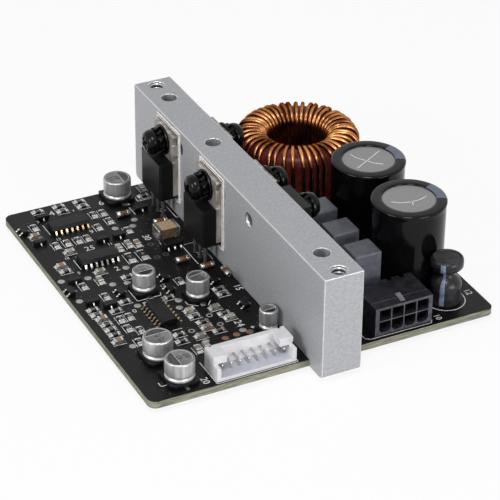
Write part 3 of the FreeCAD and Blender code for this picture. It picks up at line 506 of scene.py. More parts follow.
# Power transistors and their foils
def makeTransistors():
    look = {"bodyEdge": 0.1, "leadEdge": 0.06, "ripple": 0.07, "foilCells": (14, 22), "rim": 0.13, "innerRim": 0.078,
            "rimInset": 0.46, "rimStep": 0.55, "fold": 0.14}
    for number in range(1, 6):
        part = "transistor_" + str(number)
        dressed(part + "_body", part + "_bodyLook", "blackResin", look["bodyEdge"])
        lead = copyOf(part + "_leadframe")
        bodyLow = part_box(part + "_body")[0]
        # the legs below the body are painted darker than the tab, as painted shade
        paint(lead, 1, lambda face: face.calc_center_median().z < bodyLow.z + 0.1 * mm)
        soften(piece(part + "_leadLook", lead, ["tabMetal", "legMetalShade"], [part + "_leadframe"],
                     sharp=180.0), look["leadEdge"], 1)
    for number in range(1, 5):
        node = "insulating_foil_" + str(number)
        low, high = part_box(node)
        size = high - low
        shape = bmesh.new()
        bmesh.ops.create_grid(shape, x_segments=look["foilCells"][0], y_segments=look["foilCells"][1], size=0.5)
        for vert in shape.verts:
            vert.co.x *= size.y
            vert.co.y *= size.z
            if vert.is_boundary:
                vert.co.x += chance.uniform(-1.0, 0.0) * look["ripple"] * mm * (1 if vert.co.x > 0 else -1)
                vert.co.y += chance.uniform(-1.0, 0.0) * look["ripple"] * mm * (1 if vert.co.y > 0 else -1)
        bmesh.ops.solidify(shape, geom=shape.faces[:], thickness=size.x)
        # the sheet was drawn flat and now stands against the bar
        outward(moved(shape, Matrix(((0, 0, 1, 0), (1, 0, 0, 0), (0, 1, 0, 0), (0, 0, 0, 1)))))
        middle = sum((vert.co for vert in shape.verts), Vector()) / len(shape.verts)
        shape.transform(at((low + high) / 2.0 - middle))
        # the sheet's thin edges carry a painted highlight
        paint(shape, 1, lambda face: abs(face.normal.x) < 0.5)
        # the rim is folded a little, shown by painted highlights: a bright uneven line at the edge and a second one
        # inside it
        outside = high.x if abs(high.x) > abs(low.x) else low.x
        away = 1.0 if outside > 0.0 else -1.0
        for inset, lift, width in ((0.0, 0.0, look["rim"]), (look["rimInset"], look["fold"], look["innerRim"])):
            a, b = low.y + inset * mm, high.y - inset * mm
            foot, top = low.z + inset * mm, high.z - inset * mm
            corners = [(a, foot), (a, top), (b, top), (b, foot), (a, foot)]
            points = []
            for (y0, z0), (y1, z1) in zip(corners, corners[1:]):
                steps = max(2, int(math.hypot(y1 - y0, z1 - z0) / (look["rimStep"] * mm)))
                for step in range(steps):
                    y = y0 + (y1 - y0) * step / steps + chance.uniform(-1.0, 1.0) * look["ripple"] * mm
                    z = z0 + (z1 - z0) * step / steps + chance.uniform(-1.0, 1.0) * look["ripple"] * mm
                    points.append(Vector((outside + away * lift * chance.uniform(0.2, 1.0) * mm, y, z)))
            stamp(shape, paint(wire(points, width, 4), 1))
        piece("foil_" + str(number) + "_look", shape, ["clearFoil", "foilEdgeHighlight"], [node])


# Fixing screws, toothed washers and bushes, drawn along Z from the seat and stamped at each screw
def makeFixings():
    look = {"head": 2.8, "headHeight": 2.3, "recess": 1.75, "recessWidth": 0.42, "recessDepth": 1.5, "headEdge": 0.07,
            "teeth": 11, "toothTilt": 32.0, "toothLevel": 0.8, "bushHeight": 0.6, "nearby": 0.4, "turn": 1.5,
            "barScrewEdge": 0.12}
    screws, washers, bushes = bmesh.new(), bmesh.new(), bmesh.new()
    r, tall, half, long = look["head"], look["headHeight"], look["recessWidth"], look["recess"]
    head = turned([(0.0, tall), (0.9, 2.27), (1.7, 2.15), (2.25, 1.9), (2.62, 1.45), (r, 0.8), (r, 0.22),
                   (r - 0.2, 0.0), (1.2, 0.0), (1.2, -4.0), (0.0, -4.0)], 36)
    slots = []
    for turn in (0.0, 90.0):
        cutter = blockMm(-long, long, -half, half, tall - look["recessDepth"], 3.0)
        bmesh.ops.scale(cutter, vec=(0.55, 0.8, 1.0), verts=[v for v in cutter.verts if v.co.z < 1.5 * mm])
        slots.append(moved(cutter, spun(turn)))
    head = roundEdges(carved(head, slots), look["headEdge"], 1, 40.0)
    ring = turned([(1.6, 0.1), (2.25, 0.1), (2.25, 1.5), (1.6, 1.5), (1.6, 0.1)], 28)
    for number in range(look["teeth"]):
        tooth = blockMm(1.9, 3.0, -0.36, 0.36, -0.72, 0.72, 0.14, 2)
        level = at((0.0, 0.0, look["toothLevel"] * mm))
        stamp(ring, tooth, spun(360.0 * number / look["teeth"]) @ level @ spun(look["toothTilt"], "X"))
    bush = turned([(1.5, 0.0), (3.35, 0.0), (3.5, 0.12), (3.5, 0.48), (3.38, 0.6), (1.5, 0.6), (1.5, 0.0)], 40)

    def sideOf(low, high):
        return 1.0 if low.x + high.x > 0.0 else -1.0

    def seat(whole, shape, side, distance, middle, turn):
        # a copy on one side of the bar, its seat at a distance from the bar's middle
        place = Vector((side * distance, middle.y, middle.z))
        stamp(whole, shape, toward(place, across * side) @ turn, True)

    washerBoxes = looseParts("spring_washers")
    for low, high in looseParts("fixing_screws"):
        side = sideOf(low, high)
        middle = (low + high) / 2.0
        tip = high.x if side > 0.0 else -low.x
        near = [box for box in washerBoxes
                if abs((box[0].y + box[1].y) / 2.0 - middle.y) < look["nearby"] * mm and sideOf(*box) == side]
        turn = Matrix.Rotation(chance.uniform(0.0, look["turn"]), 4, "Z")
        seat(screws, head, side, tip - tall * mm, middle, turn)
        seat(washers, ring, side, min(min(abs(box[0].x), abs(box[1].x)) for box in near), middle, turn)
    for low, high in looseParts("insulating_bushes"):
        side = sideOf(low, high)
        outer = (high.x if side > 0.0 else -low.x) - look["bushHeight"] * mm
        seat(bushes, bush, side, outer, (low + high) / 2.0, Matrix())
    for shape in (head, ring, bush):
        shape.free()
    piece("fixingScrewLook", screws, ["blackenedSteel"], ["fixing_screws"])
    piece("toothedWashers", washers, ["blackenedSteel"], ["spring_washers"])
    piece("bushLook", bushes, ["blackenedSteel"], ["insulating_bushes"])
    dressed("bar_screws", "barScrewLook", "plainSteel", look["barScrewEdge"])


# Toroid: one long wire wound round a coated core
def makeToroid():
    coil = {"turns": 44, "wire": 0.45, "inner": 6.88, "outer": 13.86, "low": 0.5, "high": 15.45, "cornerSteps": 9,
            "wireSides": 8, "innerCorner": 3.0, "outerCorner": 3.1, "footCorner": 1.6, "gap": 0.02, "coreStart": 3.0,
            "wireStart": 5.0, "coreSides": 72, "firstTurn": 218.0, "wander": 0.36, "lift": 0.14, "liftFrom": 12.0,
            "tailStart": 0.9}
    centre = footOf(*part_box("toroid_core"))
    near, far, low, high = (coil[key] for key in ("inner", "outer", "low", "high"))
    inner, outer, foot = (coil[key] for key in ("innerCorner", "outerCorner", "footCorner"))

    def corner(line, r, z, radius, first):
        for step in range(coil["cornerSteps"] + 1):
            angle = math.radians(first - 90.0 * step / coil["cornerSteps"])
            line.append((r + radius * math.cos(angle), z + radius * math.sin(angle)))

    def section(skin, start):
        # up the inside, over the top, down the outside and back under, by a skin's width inside the turns
        line = [(near + skin, start)]
        corner(line, near + inner, high - inner, inner - skin, 180.0)
        corner(line, far - outer, high - outer, outer - skin, 90.0)
        line.append((far - skin, start))
        corner(line, far - foot, low + foot, foot - skin, 0.0)
        corner(line, near + foot, low + foot, foot - skin, -90.0)
        return line

    # the core fills the room inside the turns
    body = section(coil["wire"] + coil["gap"], coil["coreStart"])
    core = moved(turned(body + body[:1], coil["coreSides"]), at(centre))
    piece("toroidCoreLook", core, ["wineCoating"], ["toroid_core"])
    line = section(0.0, coil["wireStart"])
    points = []
    for turn in range(coil["turns"]):
        sway = chance.uniform(-1.0, 1.0) * coil["wander"]
        lift = chance.uniform(0.0, 1.0) * coil["lift"]
        for step, (r, z) in enumerate(line):
            share = (turn + step / len(line)) / coil["turns"]
            out = max(0.0, (r - near) / (far - near))
            angle = math.radians(coil["firstTurn"]) + 2.0 * math.pi * (share + sway * out / coil["turns"])
            rise = lift if z > coil["liftFrom"] else 0.0
            points.append(centre + Vector((r * math.cos(angle), r * math.sin(angle), z + rise)) * mm)
    winding = wire(points, coil["wire"], coil["wireSides"])
    for tailLow, tailHigh in looseParts("toroid_winding"):
        if tailLow.z < boardUnder:
            x, y = (tailLow.x + tailHigh.x) / 2.0, (tailLow.y + tailHigh.y) / 2.0
            tail = [Vector((x, y, z)) for z in (boardTop + coil["tailStart"] * mm, boardTop, tailLow.z)]
            stamp(winding, wire(tail, coil["wire"], coil["wireSides"]))
    piece("toroidWire", winding, ["enamelledCopper"], ["toroid_winding"], sharp=60.0)


# Bulk capacitors
def makeBulkCapacitors():
    look = {"stripe": (-28.0, 22.0), "stripeFrom": 0.5, "stripeInner": 5.8, "scoreWidth": 0.2, "disc": 19.82,
            "scoreLength": 9.2, "scoreSlant": 30.0}
    # the pressed lines on each disc, in millimetres from its middle
    half = look["scoreLength"] / 2.0
    slant = math.radians(look["scoreSlant"])
    straight = [(end * math.cos(slant), end * math.sin(slant)) for end in (-half, half)]
    scores = (
        ([(-4.0, 0.4), (-2.4, -0.75), (-0.5, -1.3), (1.65, -1.35), (3.8, -0.7)], [(0.05, -1.25), (-0.4, -2.5)]),
        (straight, [(-2.5, 3.5), (-2.0, 1.6), (-0.8, -0.1), (0.2, -1.8), (1.9, -3.2)]),
    )
    for number in (1, 2):
        part = "bulk_capacitor_" + str(number)
        place = at(footOf(*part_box(part + "_sleeve")))
        sleeve = turned([(0.0, 0.0), (7.6, 0.0), (7.95, 0.25), (8.06, 0.8), (8.06, 18.4), (8.1, 19.0), (8.19, 19.45),
                         (8.2, 19.7), (8.1, 19.92), (7.9, 20.05), (7.6, 20.12), (6.5, 20.15), (6.05, 20.12),
                         (5.84, 20.03), (5.75, 19.9), (5.75, 19.6), (0.0, 19.6)], 80)
        first, last = (math.radians(a) for a in look["stripe"])

        def inStripe(face):
            middle = face.calc_center_median()
            onSide = middle.z > look["stripeFrom"] * mm and middle.xy.length > look["stripeInner"] * mm
            return onSide and first < math.atan2(middle.y, middle.x) < last

        paint(sleeve, 1, inStripe)
        piece(part + "_sleeveLook", moved(sleeve, place), ["shinySleeve", "sleeveStripe"],
              [part + "_sleeve"])
        top = look["disc"]
        disc = turned([(0.0, 19.5), (5.95, 19.5), (5.95, top - 0.08), (5.5, top), (0.0, top)], 72)
        for line in scores[number - 1]:
            for a, b in zip(line, line[1:]):
                run = Vector(b) - Vector(a)
                reach = run.length / 2.0 + 0.05
                wide = look["scoreWidth"] / 2.0
                ridge = blockMm(-reach, reach, -wide, wide, top - 0.1, top + 0.03)
                middle = (Vector(a) + Vector(b)) / 2.0 * mm
                turn = Matrix.Rotation(math.atan2(run.y, run.x), 4, "Z")
                # each pressed line is a low ridge with a painted highlight
                stamp(disc, paint(ridge, 1), at((middle.x, middle.y, 0.0)) @ turn)
        piece(part + "_canLook", moved(disc, place), ["discAluminium", "scoreHighlight"],
              [part + "_can"], sharp=25.0)
        keepNode(part + "_leads", "solderMetal")


# Film capacitors
def makeFilmCapacitors():
    look = {"edge": 0.4, "segments": 3}
    for number in (1, 2, 3):
        node = "film_capacitor_" + str(number)
        low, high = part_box(node)
        piece("filmLook_" + str(number), block(low, high, look["edge"], look["segments"]), ["filmPlastic"],
              [node])
    keepNode("film_capacitor_leads", "solderMetal")


# Choke
def makeChoke():
    look = {"stripeAt": -136.0, "stripeHalf": 8.5, "stripeLevels": (0.7, 10.4), "sides": 60, "dent": 0.0055556,
            "dentLevels": (0.5, 10.6), "waves": ((7.0, 900.0), (4.0, -1700.0)), "inside": 1.6, "mouth": 2.8}
    sleeve = turned([(0.0, 0.0), (3.15, 0.0), (3.32, 0.12), (3.38, 0.4), (3.36, 1.8), (3.26, 2.3),
                     (3.28, 3.2), (3.36, 4.1), (3.26, 4.8), (2.95, 5.4), (2.5, 5.9), (2.08, 6.35), (1.8, 6.8),
                     (1.72, 7.15), (1.84, 7.55), (2.26, 7.9), (2.82, 8.2), (3.26, 8.5), (3.48, 8.9), (3.54, 9.35),
                     (3.54, 10.1), (3.43, 10.5), (3.27, 10.72), (3.08, 10.8), (2.94, 10.78), (2.86, 10.7),
                     (2.82, 10.6), (0.0, 10.6)], look["sides"])

    def onSide(point, levels):
        return point.xy.length > look["inside"] * mm and levels[0] * mm < point.z < levels[1] * mm

    for vert in sleeve.verts:
        # the sleeve has shrunk unevenly
        if onSide(vert.co, look["dentLevels"]):
            angle = math.atan2(vert.co.y, vert.co.x)
            wave = sum(math.sin(turns * angle + climb * vert.co.z) for turns, climb in look["waves"])
            vert.co.xy *= 1.0 + look["dent"] * wave

    def inStripe(face):
        middle = face.calc_center_median()
        turn = math.degrees(math.atan2(middle.y, middle.x)) - look["stripeAt"]
        return abs(turn) < look["stripeHalf"] and onSide(middle, look["stripeLevels"])

    def inMouth(face):
        middle = face.calc_center_median()
        return face.normal.z > 0.9 and middle.z > 10.5 * mm and middle.xy.length < look["mouth"] * mm

    paint(sleeve, 1, inStripe)
    paint(sleeve, 2, inMouth)
    moved(sleeve, at(footOf(*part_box("choke_sleeve"))))
    piece("chokeLook", sleeve, ["shrunkSleeve", "chokeStripe", "roughFerrite"],
          ["choke_sleeve", "choke_core", "choke_winding"])
    keepNode("choke_leads", "solderMetal")


# Connectors
def makeHeaders():
    look = {"powerEdge": 0.06, "edgeAngle": 40.0, "signalEdge": 0.12, "pinEdge": 0.08, "roofDrop": 0.55,
            "columns": 4, "pitch": 3.0, "cell": 2.72, "rows": (0.6, 3.5), "cellHeight": 2.62, "cellDepth": 5.0,
            "cornerCut": 0.6, "latch": (0.58, 0.6, 3.2), "seam": (2.3, 0.14, 0.07), "backNotch": (0.65, 0.9),
            "notchFrom": 0.2}
    low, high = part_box("power_header_housing")
    roof = high.z - look["roofDrop"] * mm
    shape = block(low, Vector((high.x, high.y, roof)))
    middle = (low.x + high.x) / 2.0
    cutters = []
    for column in range(look["columns"]):
        x = middle + (column - (look["columns"] - 1) / 2.0) * look["pitch"] * mm
        half = look["cell"] / 2.0 * mm
        for row, floor in enumerate(look["rows"]):
            base = boardTop + floor * mm
            cell = block(Vector((x - half, low.y - mm, base)),
                         Vector((x + half, low.y + look["cellDepth"] * mm, base + look["cellHeight"] * mm)))
            if row == 0:
                lower = [edge for edge in cell.edges
                         if all(vert.co.z < base + 0.01 * mm for vert in edge.verts)
                         and abs(edge.verts[0].co.y - edge.verts[1].co.y) > mm]
                bevelled(cell, lower, look["cornerCut"], 1)
            cutters.append(cell)
        reach, depth = (value * mm for value in look["backNotch"])
        cutters.append(block(Vector((x - reach, high.y - depth, boardTop + look["notchFrom"] * mm)),
                             Vector((x + reach, high.y + mm, roof + mm))))
    start, width, depth = (value * mm for value in look["seam"])
    seam = low.y + start
    cutters.append(block(Vector((low.x - mm, seam, roof - depth)), Vector((high.x + mm, seam + width, roof + mm))))
    shape = carved(shape, cutters)
    half, first, last = (value * mm for value in look["latch"])
    ramp = block(Vector((middle - half, low.y + first, roof - 0.05 * mm)),
                 Vector((middle + half, low.y + last, high.z)))
    bmesh.ops.translate(ramp, vec=(0.0, 0.0, roof + 0.02 * mm - high.z),
                        verts=[v for v in ramp.verts if v.co.z > roof and v.co.y < low.y + first + 0.1 * mm])
    # the front face and the rounded edges are painted lighter than the housing, as painted light
    front = low.y + 0.01 * mm
    paint(shape, 2, lambda face: face.normal.y < -0.9 and face.calc_center_median().y < front)
    stamp(shape, paint(ramp, 1))
    soften(piece("powerHousingLook", shape, ["headerPlastic", "latchPlastic", "plasticHighlight"],
                 ["power_header_housing"], sharp=180.0), look["powerEdge"], 2, look["edgeAngle"], 2)
    # the pins are painted dark, as painted shade deep in the cells
    dressed("power_header_pins", "powerPinLook", "pinMetalShade", look["pinEdge"], 1)
    tray = dressed("signal_header_housing", "signalHousingLook", "whiteNylon", look["signalEdge"])
    tray.data.materials.append(finishes["trayNylonShade"])
    bottom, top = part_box("signal_header_housing")
    for face in tray.data.polygons:
        # the floor of the tray is greyer than its walls, as painted shade
        if face.normal.z > 0.9 and face.center.z < (bottom.z + top.z) / 2.0:
            face.material_index = 1
    dressed("signal_header_pins", "signalPinLook", "leadSilver", look["pinEdge"], 1)


# Small electrolytic cans: the printed segment lies towards a direction on the top
def makeCans():
    look = {"markRim": 0.62, "segmentFrom": 0.28, "directions": (0.0, -90.0, 100.0, 90.0, 180.0, -90.0),
            "dark": (2, 6), "marks": ("33", "10", "10", "47", "47", "22"),
            "markSize": 0.4, "markRows": (-0.52, -0.02),
            "inkHeight": 0.012, "segmentLevel": 5.322, "figureLevel": 5.325, "crease": 0.032,
            "creaseLevels": (5.3, 5.345), "baseEdge": 0.08}
    for number, direction in enumerate(look["directions"], 1):
        node = "smd_capacitor_" + str(number)
        low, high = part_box(node)
        r = (high.x - low.x) / 2.0 / mm
        can = turned([(0.0, 0.9), (r - 0.25, 0.9), (r - 0.05, 1.0), (r, 1.15), (r, 1.42), (r - 0.16, 1.6),
                      (r - 0.26, 1.8), (r - 0.2, 2.02), (r - 0.05, 2.22), (r, 2.4), (r, 4.95), (r - 0.07, 5.2),
                      (r - 0.22, 5.36), (r - 0.4, 5.4), (r - 0.52, 5.36), (r - 0.6, 5.31), (0.0, 5.31)], 44)
        paint(can, 1, lambda face: face.normal.z > 0.9 and face.calc_center_median().z > 5.28 * mm)
        rim = r - look["markRim"]
        start = rim * look["segmentFrom"]
        facing = spun(direction)
        mark = bmesh.new()
        bmesh.ops.create_circle(mark, cap_ends=True, radius=rim * mm, segments=40)
        bmesh.ops.bisect_plane(mark, geom=mark.verts[:] + mark.edges[:] + mark.faces[:], dist=1e-8,
                               plane_co=(start * mm, 0.0, 0.0), plane_no=(1.0, 0.0, 0.0), clear_inner=True)
        bmesh.ops.solidify(mark, geom=mark.faces[:], thickness=look["inkHeight"] * mm)
        stamp(can, paint(outward(mark), 2), at((0.0, 0.0, look["segmentLevel"] * mm)) @ facing)
        # a pressed line along the segment with a painted highlight, and two rows of small figures beside it
        reach = rim * math.sqrt(1.0 - look["segmentFrom"] ** 2)
        crease = blockMm(start - look["crease"], start + look["crease"], -reach, reach, *look["creaseLevels"])
        stamp(can, paint(crease, 4), facing)
        for row in look["markRows"]:
            word = figures(look["marks"][number - 1], look["markSize"] * r, -90.0)
            stamp(can, paint(word, 3), facing @ at((row * r * mm, 0.0, look["figureLevel"] * mm)))
        ink = "polarityInk" if number in look["dark"] else "fadedInk"
        piece(node + "_look", moved(can, at(footOf(low, high))),
              ["canAluminium", "canTopAluminium", ink, "fadedInk", "scoreHighlight"], [node])
    dressed("smd_capacitor_bases", "canBaseLook", "blackResin", look["baseEdge"])
    keepNode("smd_capacitor_feet", "chipTin")


# Small outline packages
def makePackages():
    look = {"edge": 0.06, "dot": 0.3, "dotInset": 0.75, "dotDepth": 0.12,
            "leads": ("goldLead", "leadSilver", "leadBrown")}
    for number in (1, 2, 3):
        part = "control_chip_" + str(number)
        body = copyOf(part + "_body")
        low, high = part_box(part + "_body")
        corner = Vector((low.x + look["dotInset"] * mm, low.y + look["dotInset"] * mm, high.z))
        dimple = bmesh.new()
        bmesh.ops.create_cone(dimple, cap_ends=True, segments=16, radius1=look["dot"] * mm, radius2=look["dot"] * mm,
                              depth=look["dotDepth"] * mm, matrix=at(corner))
        body = carved(roundEdges(body, look["edge"], 1), [dimple])
        piece(part + "_bodyLook", body, ["blackResin"], [part + "_body"])
        keepNode(part + "_leads", look["leads"][number - 1])


# Large ceramic capacitor: its two end caps stand a little proud of it
def makeCeramic():
    look = {"cap": 0.5, "proud": 0.04, "frameEdge": 0.06}
    low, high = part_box("ceramic_capacitor")
    shape = block(low, high)
    proud = look["proud"] * mm
    for end, side in ((low.x, -1.0), (high.x, 1.0)):
        a, b = sorted((end + side * proud, end - side * look["cap"] * mm))
        cap = block(Vector((a, low.y - proud, low.z - proud)), Vector((b, high.y + proud, high.z + proud)))
        stamp(shape, paint(cap, 1))
    # the body's sides are a darker tan than its top, as painted shade
    paint(shape, 2, lambda face: face.material_index == 0 and face.normal.z < 0.6)
    piece("ceramicLook", shape, ["bigTan", "chipTin", "bigTanShade"], ["ceramic_capacitor"])
    dressed("ceramic_capacitor_frames", "ceramicFrameLook", "chipTin", look["frameEdge"], 1)


# Rows of small parts: a body between two tinned ends, on solder
def chip(length, width, height, marks):
    look = {"capShare": 0.24, "capMost": 0.5, "inset": 0.05, "bodyEdge": 0.04, "capEdge": 0.07, "fillet": 0.45,
            "filletInset": 0.04, "filletShare": 0.66, "filletDrop": 0.5, "marks": (-0.28, 0.0, 0.28),
            "markWidth": 0.14, "markReach": 0.24, "markLevels": (-0.05, -0.01)}
    cap = min(look["capShare"] * length, look["capMost"])
    end = length / 2.0
    half = width / 2.0
    inner = end - look["inset"]
    shape = blockMm(-inner, inner, -half + 0.02, half - 0.02, 0.02, height - 0.02, look["bodyEdge"])
    for side in (-1.0, 1.0):
        a, b = sorted((side * end, side * (end - cap)))
        stamp(shape, paint(blockMm(a, b, -half, half, 0.0, height, look["capEdge"]), 1))
        a, b = sorted((side * end, side * (end + look["fillet"])))
        wide = half - look["filletInset"]
        fillet = blockMm(a, b, -wide, wide, -0.01, look["filletShare"] * height)
        # the solder slopes down away from the chip
        bmesh.ops.translate(fillet, vec=(0.0, 0.0, -look["filletDrop"] * height * mm),
                            verts=[v for v in fillet.verts if abs(v.co.x) > (end + 0.1) * mm and v.co.z > 0.1 * mm])
        stamp(shape, paint(fillet, 1))
    wide, reach = look["markWidth"] / 2.0, look["markReach"]
    foot, top = (height + level for level in look["markLevels"])
    for x in look["marks"] if marks else ():
        stamp(shape, paint(blockMm(x - wide, x + wide, -reach, reach, foot, top), 2))
    return shape


def bentLead(x, reaches, radius):
    # a lead that comes out of a body, bends down and ends on its pad
    return wire([Vector((x, y, z)) * mm for y, z in zip(reaches, (0.5, 0.46, 0.12, 0.06))], radius, 4)


def makeSmallParts():
    look = {"sway": 1.5, "flatPlace": (27.9, 52.4), "flatBody": (-1.15, 3.35, -1.45, 1.05, 0.1, 1.4, 0.15),
            "flatLeads": (-0.4, 1.1, 2.6), "flatReach": (-1.4, -1.62, -1.75, -2.2), "flatLead": 0.24,
            "case": (-1.45, 1.45, -0.65, 0.65, 0.08, 1.0, 0.1), "reach": (0.6, 0.85, 0.98, 1.4), "lead": 0.19,
            "leads": ((-0.95, 1.0), (0.95, 1.0), (0.0, -1.0)), "loneDiode": (30.5, 61.9, 0.72), "diodeSides": 18}
    # capacitors come in three tones, which follow the two of a resistor's body and marks
    bodies = {"chip_resistors": ["chipBlack", "chipTin", "chipMark"],
              "chip_capacitors": ["chipTan", "chipTin", "chipGrey", "chipPale"]}
    for node, materials in bodies.items():
        whole = bmesh.new()
        plain = node == "chip_capacitors"
        for low, high in looseParts(node):
            size = (high - low) / mm
            turn = (90.0 if size.y > size.x else 0.0) + chance.uniform(-1.0, 1.0) * look["sway"]
            shape = chip(max(size.x, size.y), min(size.x, size.y), size.z, not plain)
            pick = chance.choice((0, 2, 3)) if plain else 0
            paint(shape, pick, lambda face: face.material_index == 0)
            stamp(whole, shape, at(footOf(low, high)) @ spun(turn))
        piece(node + "_look", whole, materials, [node], sharp=30.0)
    body = bmesh.new()
    leads = bmesh.new()
    for low, high in looseParts("small_transistors"):
        middle = footOf(low, high)
        if (middle - onBoard(*look["flatPlace"])).xy.length < mm:
            # the one beside the ceramic capacitor is a larger flat package
            stamp(body, blockMm(*look["flatBody"]), at(middle))
            for x in look["flatLeads"]:
                stamp(leads, bentLead(x, look["flatReach"], look["flatLead"]), at(middle))
            continue
        place = at(middle) @ spun(90.0 if high.y - low.y > high.x - low.x else 0.0)
        stamp(body, blockMm(*look["case"]), place)
        for x, side in look["leads"]:
            stamp(leads, bentLead(x, [side * y for y in look["reach"]], look["lead"]), place)
    piece("smallTransistorLook", body, ["blackResin"], ["small_transistors"])
    piece("smallTransistorLegs", leads, ["legTin"], sharp=50.0)
    glass = bmesh.new()
    sides = look["diodeSides"]
    diode = turned([(0.0, -0.95), (0.6, -0.95), (0.66, -0.8), (0.66, 0.8), (0.6, 0.95), (0.0, 0.95)], sides)
    for side in (-1.0, 1.0):
        cap = turned([(0.0, 0.78), (0.62, 0.78), (0.7, 0.86), (0.7, 1.45), (0.6, 1.6), (0.0, 1.6)], sides)
        stamp(diode, paint(moved(cap, Matrix.Diagonal((1.0, 1.0, side, 1.0))), 1))
    for low, high in looseParts("diodes"):
        lengthwise = across if high.x - low.x > high.y - low.y else Vector((0.0, 1.0, 0.0))
        stamp(glass, diode, toward((low + high) / 2.0, lengthwise), True)
    # a fifth one lies behind the ceramic capacitor
    stamp(glass, diode, toward(onBoard(*look["loneDiode"]), across))
    piece("diodeLook", glass, ["diodeGlass", "chipTin"], ["diodes"])


# Printed lines, flat pads and solder
def strip(whole, a, b, width):
    # a printed line between two places on the board
    run = b - a
    half = (run.length / mm + width) / 2.0
    line = blockMm(-half, half, -width / 2.0, width / 2.0, -0.01, 0.02)
    stamp(whole, line, at((a + b) / 2.0) @ Matrix.Rotation(math.atan2(run.y, run.x), 4, "Z"))


def flatRing(inner, outer, high, sides):
    # a thin disc or ring that stands a little in the board
    outline = [(inner, -0.01), (outer, -0.01), (outer, high), (inner, high)]
    return turned(outline + outline[:1] if inner else outline, sides)


